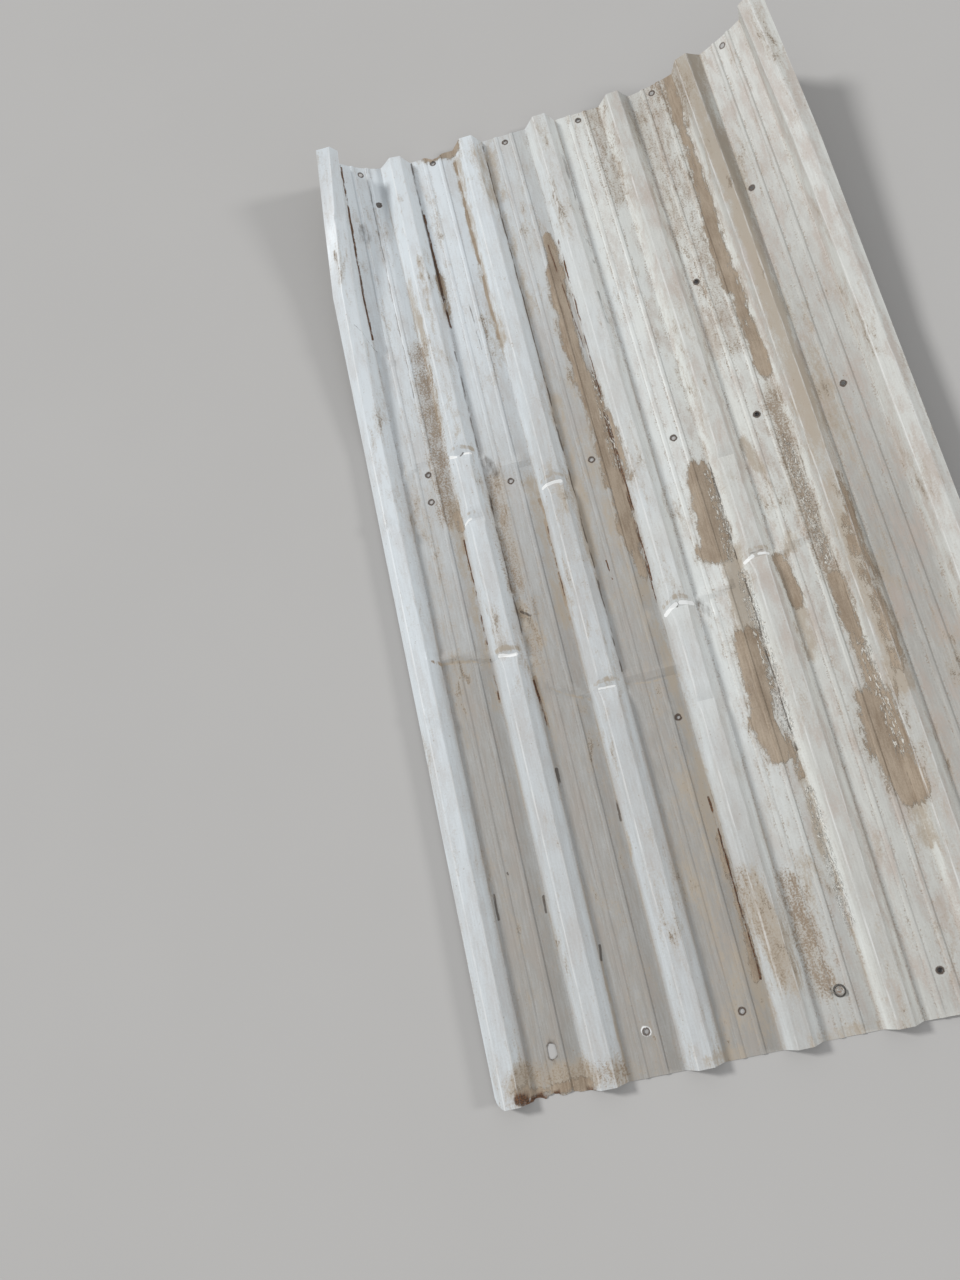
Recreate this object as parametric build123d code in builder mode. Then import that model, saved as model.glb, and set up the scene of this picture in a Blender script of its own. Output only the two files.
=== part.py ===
"""A used corrugated roofing sheet: one strip of thin painted steel, rolled into seven ribs.

X runs across the ribs, Y along them and Z up. The origin is at the middle of the sheet's
footprint, on the level ground that its flat pans lie on. All sizes are in millimetres.
Across the ribs, places are given on the sheet as it was before its sides were bent up,
from the middle rib. Along the ribs, they are given from the lower end.
"""
import os
from math import atan2, cos, degrees, sin
from typing import NamedTuple

from build123d import *

os.makedirs("parts", exist_ok=True)

# Rolled profile
rib_count = 7
rib_pitch = 115.0
rib_height = 20.0
crest_width = 18.0
base_width = 46.0
steel_thickness = 0.5
bend_radius = 2.0

# The outer flank of each edge rib is this high, so that it stops short of the ground
edge_leg_height = 17.0

# Two small stiffeners run along each pan, and their bends are sharp
stiffener_spacing = 24.0
stiffener_base = 7.0
stiffener_top = 3.0
stiffener_height = 1.4
stiffener_bend_radius = 0.0

# Length along the ribs
sheet_length = 1340.0

# Left of one rib and right of another the sheet is bent up
last_rib_bent_left = 2
first_rib_bent_right = 5

# Screw holes, one in the middle of each pan, in rows where the roof's purlins were
screw_hole_diameter = 6.0
lower_row = 50.0
middle_row = 780.0
upper_row_from_end = 13.0

# The hole nearest the lower left corner is torn long
torn_hole_width = 10.5
torn_hole_length = 18.0

# One old screw is left in its hole, with its washer, snapped off level with the underside
screw_pan = 4
washer_diameter = 15.0
washer_thickness = 2.0
washer_clearance = 0.2
washer_chamfer = 0.6
head_across_flats = 7.8
head_height = 3.6
head_chamfer = 0.5
flange_diameter = 10.4
flange_thickness = 0.9
shank_diameter = 5.4

# A buckle takes this much of the plain pan on each side of its rib
buckle_margin = 4.0

# The lower left corner is worn round
worn_corner_radius = 14.0


class Curl(NamedTuple):
    """The radii that the two sides of the sheet are bent up to, None where a side is flat."""

    along: float
    left_radius: float | None
    right_radius: float | None


# The sheet is alike up to the first of these places, and from there its upper corners curl up
curls = [
    Curl(along=880.0, left_radius=None, right_radius=640.0),
    Curl(along=1120.0, left_radius=420.0, right_radius=440.0),
    Curl(along=sheet_length, left_radius=150.0, right_radius=300.0),
]


class Buckle(NamedTuple):
    """A fold across a rib, where the sheet was once bent over something.

    reach is how far the fold runs along the rib to each side, sink is how far the crest is
    pressed down, and spread is how far the flanks bulge.
    """

    rib: int
    along: float
    reach: float
    sink: float
    spread: float


buckles = [
    Buckle(rib=2, along=832.0, reach=20.0, sink=6.5, spread=2.0),
    Buckle(rib=2, along=731.0, reach=18.0, sink=5.0, spread=1.8),
    Buckle(rib=2, along=534.0, reach=18.0, sink=6.0, spread=2.0),
    Buckle(rib=3, along=753.0, reach=18.0, sink=6.5, spread=2.0),
    Buckle(rib=3, along=460.0, reach=22.0, sink=7.0, spread=2.2),
    Buckle(rib=4, along=543.0, reach=22.0, sink=7.5, spread=2.4),
    Buckle(rib=4, along=416.0, reach=16.0, sink=3.5, spread=1.2),
    Buckle(rib=5, along=582.0, reach=24.0, sink=7.0, spread=2.4),
    Buckle(rib=5, along=728.0, reach=16.0, sink=4.0, spread=1.4),
]


class Puncture(NamedTuple):
    """A stray round hole, away from the rows."""

    pan: int
    beside_middle: float
    along: float
    diameter: float


punctures = [
    Puncture(pan=1, beside_middle=4.0, along=821.0, diameter=5.0),
    Puncture(pan=1, beside_middle=19.0, along=1273.0, diameter=5.0),
    Puncture(pan=3, beside_middle=20.0, along=405.0, diameter=4.5),
    Puncture(pan=5, beside_middle=-22.0, along=1002.0, diameter=6.0),
    Puncture(pan=6, beside_middle=-27.0, along=1105.0, diameter=4.5),
]


class Bite(NamedTuple):
    """A round bite that rust or handling has taken out of an end, -1 the lower and 1 the upper."""

    pan: int
    beside_middle: float
    end: int
    radius: float
    depth: float


bites = [
    Bite(pan=1, beside_middle=-27.0, end=-1, radius=9.0, depth=2.4),
    Bite(pan=1, beside_middle=-8.0, end=-1, radius=14.0, depth=3.2),
    Bite(pan=1, beside_middle=15.0, end=-1, radius=11.0, depth=2.0),
    Bite(pan=2, beside_middle=6.0, end=1, radius=15.0, depth=6.0),
]

# Values that follow from the sizes above
lower_end = -sheet_length / 2
upper_row = sheet_length - upper_row_from_end
lower_curl = curls[0]
half_crest = crest_width / 2
half_base = base_width / 2
flank_slope = (half_base - half_crest) / rib_height
edge_foot = (half_crest + flank_slope * edge_leg_height, rib_height - edge_leg_height)
pans = range(1, rib_count)


def rib_centre(rib: int) -> float:
    """Place of a rib's middle, with rib 1 at the left edge."""
    return (rib - (rib_count + 1) / 2) * rib_pitch


def pan_centre(pan: int) -> float:
    """Place of the middle of the pan between a rib and the next."""
    return rib_centre(pan) + rib_pitch / 2


left_bend_start = rib_centre(last_rib_bent_left) + half_base
right_bend_start = rib_centre(first_rib_bent_right) - half_base


def bent(across: float, height: float, curl: Curl) -> tuple[float, float]:
    """X and Z of a point of the flat sheet's underside, once the sides are bent up."""
    side, start, radius = 1, across, None
    if across > right_bend_start:
        side, start, radius = 1, right_bend_start, curl.right_radius
    elif across < left_bend_start:
        side, start, radius = -1, left_bend_start, curl.left_radius
    if radius is None:
        return across, height
    turn = side * (across - start) / radius
    return start + side * (radius - height) * sin(turn), radius - (radius - height) * cos(turn)


def rib_line(rib: int, curl: Curl, sink: float = 0.0, spread: float = 0.0) -> list[tuple[float, float]]:
    """Underside of one rib from left to right, with its crest sunk and its flanks spread."""
    left_foot = right_foot = (half_base, 0.0)
    if rib == 1:
        left_foot = edge_foot
    if rib == rib_count:
        right_foot = edge_foot
    corners = [
        (-left_foot[0], left_foot[1]),
        (-half_crest - spread, rib_height - sink),
        (half_crest + spread, rib_height - sink),
        (right_foot[0], right_foot[1]),
    ]
    return [bent(rib_centre(rib) + beside, height, curl) for beside, height in corners]


def stiffener_line(middle: float, curl: Curl) -> list[tuple[float, float]]:
    """Underside of one small stiffener from left to right."""
    corners = [
        (-stiffener_base / 2, 0.0),
        (-stiffener_top / 2, stiffener_height),
        (stiffener_top / 2, stiffener_height),
        (stiffener_base / 2, 0.0),
    ]
    return [bent(middle + beside, height, curl) for beside, height in corners]


def across_plane(along: float) -> Plane:
    """The plane across the ribs at a distance from the lower end."""
    return Plane.XZ.offset(-(lower_end + along))


def rolled_outline(along: float, points: list[tuple[float, float]], radii: list[float]) -> Sketch:
    """The steel between an underside line and its upper face, in a plane across the ribs."""
    with BuildSketch(across_plane(along)) as outline:
        with BuildLine():
            FilletPolyline(*points, radius=radii)
            offset(amount=steel_thickness, side=Side.LEFT)
        make_face()
    return outline.sketch


def sheet_outline(curl: Curl) -> Sketch:
    """The whole sheet from edge to edge, in a plane across the ribs."""
    points, radii = [], []
    for rib in range(1, rib_count + 1):
        points += rib_line(rib, curl)
        radii += [bend_radius] * 4
        if rib in pans:
            for side in (-1, 1):
                points += stiffener_line(pan_centre(rib) + side * stiffener_spacing / 2, curl)
                radii += [stiffener_bend_radius] * 4
    return rolled_outline(curl.along, points, radii[1:-1])


def buckle_outline(buckle: Buckle, share: float) -> Sketch:
    """A buckled rib and its margins, at a share of its reach from the fold, 1 where it is plain."""
    depth = 1 - abs(share)
    points = rib_line(buckle.rib, lower_curl, depth * buckle.sink, depth * buckle.spread)
    beside_rib = rib_pitch / 2 - stiffener_spacing / 2 - stiffener_base / 2
    for side, end in ((-1, 0), (1, len(points) + 1)):
        foot = Vector(*points[-1 if end else 0])
        next_bend = Vector(*bent(rib_centre(buckle.rib) + side * beside_rib, 0.0, lower_curl))
        margin = foot + (next_bend - foot).normalized() * buckle_margin
        points.insert(end, (margin.X, margin.Y))
    return rolled_outline(buckle.along + share * buckle.reach, points, [bend_radius] * 4)


def spot(across: float, along: float) -> Location:
    """A place on the bent sheet's underside, with its Z square to the steel there."""
    before, after = next(
        (lower, upper) for lower, upper in zip(curls, curls[1:]) if along < upper.along or upper is curls[-1]
    )
    share = max(0.0, (along - before.along) / (after.along - before.along))
    half_flat = (stiffener_spacing - stiffener_base) / 2
    left, right = (
        Vector(*bent(across + beside, 0.0, before)) * (1 - share)
        + Vector(*bent(across + beside, 0.0, after)) * share
        for beside in (-half_flat, half_flat)
    )
    middle = (left + right) / 2
    lean = degrees(atan2(right.Y - left.Y, right.X - left.X))
    return Location((middle.X, lower_end + along, middle.Y), (0, -lean, 0))


def row(chosen_pans: list[int] | range, along: float) -> list[Location]:
    """The middles of some pans, in a row."""
    return [spot(pan_centre(pan), along) for pan in chosen_pans]


# The sheet
with BuildPart() as sheet:
    # The rolled strip: its lower length is straight, and its corners curl up towards the upper end
    extrude(sheet_outline(lower_curl), amount=lower_curl.along, dir=(0, -1, 0))
    loft([sheet_outline(curl) for curl in curls], ruled=True)

    # Where it buckled, a length of the plain rib gives way to one whose crest is pressed down
    for buckle in buckles:
        plain_end, fold, plain_start = (buckle_outline(buckle, share) for share in (1, 0, -1))
        extrude(plain_end, amount=2 * buckle.reach, dir=(0, -1, 0), mode=Mode.SUBTRACT)
        loft([plain_end, fold, plain_start], ruled=True)

    # Screw holes in rows, and the stray ones
    with Locations(*row(pans[1:], lower_row), *row(pans, middle_row), *row(pans, upper_row)):
        Hole(screw_hole_diameter / 2)
    for puncture in punctures:
        with Locations(spot(pan_centre(puncture.pan) + puncture.beside_middle, puncture.along)):
            Hole(puncture.diameter / 2)

    # The torn hole, the bitten ends and the worn corner
    with BuildSketch():
        with Locations(*row(pans[:1], lower_row)):
            SlotOverall(torn_hole_length, torn_hole_width, rotation=90)
        for bite in bites:
            beyond_end = sheet_length / 2 + bite.end * (sheet_length / 2 + bite.radius - bite.depth)
            with Locations(spot(pan_centre(bite.pan) + bite.beside_middle, beyond_end)):
                Circle(bite.radius)
        left_edge = rib_centre(1) - edge_foot[0] - steel_thickness
        with Locations((left_edge, lower_end)):
            Rectangle(2 * worn_corner_radius, 2 * worn_corner_radius)
        with Locations((left_edge + worn_corner_radius, lower_end + worn_corner_radius)):
            Circle(worn_corner_radius, mode=Mode.SUBTRACT)
    extrude(amount=2 * rib_height, both=True, mode=Mode.SUBTRACT)

# The washer under the old screw's head
screw_place = row([screw_pan], lower_row)
washer_top = steel_thickness + washer_thickness
with BuildPart() as washer:
    with BuildSketch(Plane.XY.offset(steel_thickness)):
        with Locations(*screw_place):
            Circle(washer_diameter / 2)
            Circle((shank_diameter + washer_clearance) / 2, mode=Mode.SUBTRACT)
    extrude(amount=washer_thickness)
    chamfer(washer.edges().group_by(Axis.Z)[-1].sort_by(SortBy.LENGTH)[-1], washer_chamfer)

# The old screw: its hex head, the flange under it and the stub of its shank
with BuildPart() as screw:
    with BuildSketch():
        with Locations(*screw_place):
            Circle(shank_diameter / 2)
    extrude(amount=washer_top)
    with BuildSketch(Plane.XY.offset(washer_top)):
        with Locations(*screw_place):
            Circle(flange_diameter / 2)
    extrude(amount=flange_thickness)
    with BuildSketch(Plane.XY.offset(washer_top + flange_thickness)):
        with Locations(*screw_place):
            RegularPolygon(head_across_flats / 2, 6, major_radius=False)
    extrude(amount=head_height)
    chamfer(screw.edges().group_by(Axis.Z)[-1], head_chamfer)

# The bent sheet is a little narrower on the right, so its pieces are moved to the footprint's middle
footprint = sheet.part.bounding_box()
to_middle = Location((-footprint.center().X, -footprint.center().Y, 0))
for name, piece in {"sheet": sheet, "washer": washer, "screw": screw}.items():
    piece.part.locate(to_middle)
    piece.part.label = name
    export_step(piece.part, f"parts/{name}.step")
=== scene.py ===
"""Looks of a used corrugated roofing sheet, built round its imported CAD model.

X runs across the ribs, Y along them and Z up, in metres. A place on the sheet is given in
millimetres on the sheet as it was before its corners curled up: across from the middle rib, and
along from the lower end.
"""
import logging
import math
from collections.abc import Iterable, Sequence
from dataclasses import dataclass
from enum import Enum

import bpy
import numpy as np
from mathutils import Matrix, Vector
from mathutils.bvhtree import BVHTree


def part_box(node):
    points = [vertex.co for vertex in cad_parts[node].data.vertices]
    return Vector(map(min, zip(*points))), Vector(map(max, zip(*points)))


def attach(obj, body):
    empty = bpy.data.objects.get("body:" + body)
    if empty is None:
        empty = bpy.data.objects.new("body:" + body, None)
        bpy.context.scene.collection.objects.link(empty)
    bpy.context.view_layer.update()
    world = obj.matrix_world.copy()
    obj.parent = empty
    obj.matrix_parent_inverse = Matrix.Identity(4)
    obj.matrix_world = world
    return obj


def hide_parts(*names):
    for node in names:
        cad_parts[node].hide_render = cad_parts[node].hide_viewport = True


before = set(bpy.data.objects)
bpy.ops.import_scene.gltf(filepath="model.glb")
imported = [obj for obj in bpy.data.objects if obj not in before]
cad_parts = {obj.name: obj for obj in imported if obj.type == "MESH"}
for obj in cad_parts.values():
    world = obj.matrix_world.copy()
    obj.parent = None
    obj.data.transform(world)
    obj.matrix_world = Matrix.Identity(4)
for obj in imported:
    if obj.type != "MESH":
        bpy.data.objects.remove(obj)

log = logging.getLogger("roofing_sheet")

MILLIMETRE = 0.001
PLACE = "place"

# A mark is at its full strength up to the first number of half widths from its line, and ends at the second
WIDE_FADE = (0.5, 1.7)
THIN_FADE = (0.4, 1.5)
FILM_AND_SHADE_FADE = (0.85, 1.2)

# What a run of a mark takes of the one before it: too little to show, but enough to make it wait
WAIT = (1e-6, 1e-6, 0.0)

# How sharply a fold deepens towards its middle
FOLD_STEEPNESS = 1.5

Colour = tuple[float, float, float]
Triple = tuple[float, float, float]
Point = tuple[float, float]
Socket = bpy.types.NodeSocket


class Layer(Enum):
    """What can lie on the paint, each with its attribute and channel. Some grime and dust marks are painted shade; only
    thin marks draw the glints, which are painted highlights, and a scuff.
    """

    MUD = ("soil_and_shade", 0)
    GRIME_AND_SHADE = ("soil_and_shade", 1)
    DUST_AND_SHADE = ("soil_and_shade", 2)
    RUST = ("spots", 0)
    SPECKLES = ("spots", 1)
    CRUMBS = ("spots", 2)
    GLINT_AND_SCUFF = ("thin only", 0)


class Side(Enum):
    """Which side of the sheet a face belongs to, with its material's place in the list."""

    PAINTED = 0
    BACK = 1
    EDGE = 2


class NodeBuilder:
    """Adds nodes to one tree and joins them."""

    def __init__(self, tree: bpy.types.NodeTree) -> None:
        """Start with a tree.

        Args:
            tree: The node tree that gets the nodes.
        """
        self.tree = tree

    def feed(self, socket: Socket, value: object) -> None:
        """Join a socket to another one, or set its value.

        Args:
            socket: The input socket.
            value: An output socket, or a plain value.
        """
        if isinstance(value, Socket):
            self.tree.links.new(value, socket)
        elif socket.type == "RGBA" and len(value) == 3:
            socket.default_value = (*value, 1.0)
        else:
            socket.default_value = value

    def node(self, kind: str, inputs: dict | None = None, **settings: object) -> bpy.types.Node:
        """Add one node.

        Args:
            kind: Blender's name for the type of node.
            inputs: Values or sockets by the name or number of the input.
            settings: The node's own settings.

        Returns:
            The new node.
        """
        made = self.tree.nodes.new(kind)
        for name, value in settings.items():
            setattr(made, name, value)
        for key, value in (inputs or {}).items():
            self.feed(made.inputs[key], value)
        return made

    def math(self, operation: str, *values: object, clamp: bool = False) -> Socket:
        """Add a Math node.

        Args:
            operation: The sum to do.
            values: Its sockets or numbers.
            clamp: Whether the result is kept from 0 to 1.

        Returns:
            The result's socket.
        """
        made = self.node("ShaderNodeMath", dict(enumerate(values)), operation=operation, use_clamp=clamp)
        return made.outputs[0]

    def times(self, first: object, *others: object) -> Socket:
        """Multiply numbers, from the left.

        Args:
            first: The first number or its socket.
            others: The numbers or sockets that it is multiplied by in turn.

        Returns:
            The product's socket.
        """
        for other in others:
            first = self.math("MULTIPLY", first, other)
        return first

    def plus(self, first: object, *others: object) -> Socket:
        """Add numbers, from the left.

        Args:
            first: The first number or its socket.
            others: The numbers or sockets that are added in turn.

        Returns:
            The sum's socket.
        """
        for other in others:
            first = self.math("ADD", first, other)
        return first

    def apart(self, one: object, other: object) -> Socket:
        """How far two numbers are apart."""
        return self.math("ABSOLUTE", self.math("SUBTRACT", one, other))

    def swing(self, noise: Socket, amount: float) -> Socket:
        """A noise turned into a number around 0, an amount wide."""
        return self.times(self.math("SUBTRACT", noise, 0.5), amount)

    def vector(self, operation: str, *values: object) -> Socket:
        """Add a Vector Math node.

        Args:
            operation: The sum to do.
            values: Its sockets or vectors.

        Returns:
            The result's socket.
        """
        made = self.node("ShaderNodeVectorMath", dict(enumerate(values)), operation=operation)
        number = operation in ("DISTANCE", "DOT_PRODUCT", "LENGTH")
        return made.outputs["Value" if number else "Vector"]

    def scaled(self, vector: object, factor: object) -> Socket:
        """Add a Vector Math node that scales.

        Args:
            vector: The vector's socket.
            factor: The factor, or its socket.

        Returns:
            The scaled vector's socket.
        """
        return self.node("ShaderNodeVectorMath", {0: vector, "Scale": factor}, operation="SCALE").outputs[0]

    def parts(self, vector: Socket) -> tuple[Socket, ...]:
        """Split a vector into its three numbers."""
        return tuple(self.node("ShaderNodeSeparateXYZ", {0: vector}).outputs)

    def joined(self, *values: object) -> Socket:
        """Join three numbers into a vector."""
        return self.node("ShaderNodeCombineXYZ", dict(enumerate(values))).outputs[0]

    def ramp(self, value: object, low: object, high: object, to: Point = (0.0, 1.0)) -> Socket:
        """Add a Map Range node with a smooth step.

        Args:
            value: The number's socket.
            low: Where the step starts.
            high: Where it ends.
            to: The results below the start and above the end.

        Returns:
            The result's socket.
        """
        inputs = {"Value": value, "From Min": low, "From Max": high, "To Min": to[0], "To Max": to[1]}
        return self.node("ShaderNodeMapRange", inputs, interpolation_type="SMOOTHSTEP").outputs[0]

    def noise(self, place: object, scale: float, detail: float = 3.0, rough: float = 0.55) -> Socket:
        """Add a Noise Texture node.

        Args:
            place: The socket of the place that it is read at.
            scale: Waves in a unit of that place.
            detail: Octaves.
            rough: How much the finer octaves count.

        Returns:
            The socket of its factor.
        """
        inputs = {"Vector": place, "Scale": scale, "Detail": detail, "Roughness": rough}
        return self.node("ShaderNodeTexNoise", inputs).outputs[0]

    def blend(self, share: object, under: object, over: object) -> Socket:
        """Lay one colour over another.

        Args:
            share: How much of the upper colour shows.
            under: The lower colour.
            over: The upper colour.

        Returns:
            The mixed colour's socket.
        """
        made = self.node("ShaderNodeMix", data_type="RGBA")
        for number, value in ((0, share), (6, under), (7, over)):
            self.feed(made.inputs[number], value)
        return made.outputs[2]


def new_group(name: str, kind: str, inputs: dict[str, str], outputs: dict[str, str]) -> tuple:
    """Start a node group.

    Args:
        name: Its name.
        kind: Blender's name for the type of tree.
        inputs: The socket type of each named input.
        outputs: The socket type of each named output.

    Returns:
        The builder of its tree, the node of its inputs and the node of its outputs.
    """
    tree = bpy.data.node_groups.new(name, kind)
    for way, sockets in (("INPUT", inputs), ("OUTPUT", outputs)):
        for socket, socket_type in sockets.items():
            tree.interface.new_socket(name=socket, in_out=way, socket_type=f"NodeSocket{socket_type}")
    build = NodeBuilder(tree)
    return build, build.node("NodeGroupInput"), build.node("NodeGroupOutput")


def line_group(name: str, kind: str) -> bpy.types.NodeTree:
    """Make the group that says how much of a straight run of a mark or crease lies on a place.

    Each run waits for the one before it, because a material has room for few values at once.

    Args:
        name: Its name.
        kind: Blender's name for the type of tree.

    Returns:
        The group's tree.
    """
    inputs = {"So Far": "Float", "Place": "Vector", "Start": "Vector", "End": "Vector", "Half Width": "Float",
              "Strength": "Float"}
    build, given, result = new_group(name, kind, inputs, {"Cover": "Float"})
    so_far, place, start, end, half_width, strength = given.outputs[:6]
    place = build.vector("MULTIPLY_ADD", so_far, WAIT, place)
    run = build.vector("SUBTRACT", end, start)
    beyond = build.vector("SUBTRACT", place, start)
    share = build.math(
        "DIVIDE", build.vector("DOT_PRODUCT", beyond, run), build.vector("DOT_PRODUCT", run, run), clamp=True
    )
    away = build.vector("DISTANCE", beyond, build.scaled(run, share))
    cover = build.ramp(build.math("DIVIDE", away, half_width), THIN_FADE[1], THIN_FADE[0])
    build.feed(result.inputs[0], build.math("MAXIMUM", so_far, build.math("MULTIPLY", cover, strength)))
    return build.tree


def start_material(name: str, viewport: Colour) -> tuple[bpy.types.Material, NodeBuilder, bpy.types.Node]:
    """Start a material.

    Args:
        name: Its name.
        viewport: Its colour where nodes aren't shown.

    Returns:
        The material, the builder of its nodes and its shader node.
    """
    material = bpy.data.materials.new(name)
    material.use_nodes = True
    material.diffuse_color = (*viewport, 1.0)
    shader = material.node_tree.nodes["Principled BSDF"]
    return material, NodeBuilder(material.node_tree), shader


def mesh_from(name: str, points: Sequence, faces: Sequence) -> bpy.types.Object:
    """Make an object from points and faces.

    Args:
        name: Its name.
        points: The points, in metres.
        faces: Point numbers of each face.

    Returns:
        The new object, in the scene.
    """
    mesh = bpy.data.meshes.new(name)
    mesh.from_pydata([tuple(p) for p in points], [], [tuple(f) for f in faces])
    mesh.validate()
    made = bpy.data.objects.new(name, mesh)
    bpy.context.scene.collection.objects.link(made)
    return made


def evaluated_mesh(shape: bpy.types.Object) -> bpy.types.Mesh:
    """The plain mesh that an object's modifiers give."""
    graph = bpy.context.evaluated_depsgraph_get()
    return bpy.data.meshes.new_from_object(shape.evaluated_get(graph), depsgraph=graph)


# Sizes of the sheet


@dataclass(frozen=True)
class Curl:
    """Radii that the two sides are bent up to at a place along the sheet, 0 where flat."""

    along: float
    left_radius: float
    right_radius: float


@dataclass(frozen=True)
class Buckle:
    """A fold across a rib, where the sheet was once bent over something."""

    rib: int
    along: float
    reach: float
    sink: float
    spread: float


@dataclass(frozen=True)
class Crease:
    """A crease pressed up in a pan, along a line on the sheet."""

    line: tuple[Point, ...]
    half_width: float
    lift: float


@dataclass(frozen=True)
class RoundHole:
    """A drilled or punched hole, beside the middle of a pan."""

    pan: int
    beside_middle: float
    along: float
    diameter: float


@dataclass(frozen=True)
class Bite:
    """A round bite out of an end."""

    pan: int
    beside_middle: float
    radius: float
    depth: float


@dataclass(frozen=True)
class Mark:
    """A run of dirt or wear along a line on the sheet."""

    layer: Layer
    line: tuple[Point, ...]
    half_width: float
    strength: float

    def cover(self, places: np.ndarray) -> np.ndarray:
        """How much of this mark lies on each place.

        Args:
            places: Across and along of each place.

        Returns:
            A number from 0 to the strength for each place.
        """
        nearest = np.full(len(places), np.inf)
        for start, end in zip(np.array(self.line), np.array(self.line[1:])):
            run = end - start
            share = np.clip((places - start) @ run / (run @ run), 0.0, 1.0)
            nearest = np.minimum(nearest, np.linalg.norm(places - start - share[:, None] * run, axis=1))
        full, gone = WIDE_FADE
        return self.strength * np.clip((gone - nearest / self.half_width) / (gone - full), 0.0, 1.0)


@dataclass(frozen=True)
class FilmAndShade:
    """The film of dust on one pan or rib, and how thick it is from place to place along it; it is partly painted shade,
    mostly thicker towards the lower end.
    """

    across: float
    half_width: float
    amounts: tuple[Point, ...]

    def cover(self, places: np.ndarray) -> np.ndarray:
        """How much film lies on each place.

        Args:
            places: Across and along of each place.

        Returns:
            A number from 0 to 1 for each place.
        """
        along, amounts = np.array(self.amounts).T
        beside = np.abs(places[:, 0] - self.across) / self.half_width
        full, gone = FILM_AND_SHADE_FADE
        return np.interp(places[:, 1], along, amounts) * np.clip((gone - beside) / (gone - full), 0.0, 1.0)


MUD, GRIME_AND_SHADE, DUST_AND_SHADE, RUST = Layer.MUD, Layer.GRIME_AND_SHADE, Layer.DUST_AND_SHADE, Layer.RUST
SPECKLES, CRUMBS, GLINT_AND_SCUFF = Layer.SPECKLES, Layer.CRUMBS, Layer.GLINT_AND_SCUFF

# Dust films, partly painted shade: most pans and ribs darken towards the lower end
FILMS_AND_SHADE = (
    FilmAndShade(-345, 20, ((0, 0.28), (300, 0.2), (500, 0.1), (900, 0.0), (1340, 0.04))),
    FilmAndShade(-287, 36, ((0, 0.98), (300, 0.92), (548, 0.9), (560, 0.72), (760, 0.55), (1000, 0.14), (1200, 0.0),
                    (1340, 0.02))),
    FilmAndShade(-230, 15, ((0, 0.45), (300, 0.4), (520, 0.3), (620, 0.25), (900, 0.2), (1080, 0.1), (1130, 0.0),
                    (1340, 0.0))),
    FilmAndShade(-172, 36, ((0, 0.96), (300, 0.92), (470, 0.9), (580, 0.85), (720, 0.72), (860, 0.36), (1000, 0.16),
                    (1200, 0.0), (1340, 0.02))),
    FilmAndShade(-115, 15, ((0, 0.42), (400, 0.5), (480, 0.35), (600, 0.45), (760, 0.5), (900, 0.3), (1100, 0.15),
                    (1340, 0.05))),
    FilmAndShade(-57, 36, ((0, 0.97), (300, 0.95), (455, 0.9), (600, 0.86), (900, 0.74), (1100, 0.4), (1340, 0.35))),
    FilmAndShade(0, 14, ((0, 0.6), (200, 0.62), (420, 0.28), (900, 0.24), (1340, 0.25))),
    FilmAndShade(57, 36, ((0, 0.6), (120, 0.5), (280, 0.3), (420, 0.12), (900, 0.05), (1340, 0.1))),
    FilmAndShade(115, 14, ((0, 0.6), (300, 0.5), (600, 0.4), (1000, 0.35), (1340, 0.45))),
    FilmAndShade(172, 36, ((0, 0.5), (200, 0.4), (420, 0.35), (620, 0.2), (900, 0.1), (1100, 0.12), (1340, 0.3))),
    FilmAndShade(230, 15, ((0, 0.5), (400, 0.6), (1340, 0.6))),
    FilmAndShade(287, 36, ((0, 0.6), (300, 0.75), (560, 0.85), (800, 0.6), (1000, 0.45), (1340, 0.35))),
    FilmAndShade(345, 20, ((0, 0.35), (1340, 0.3))),
)

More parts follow.
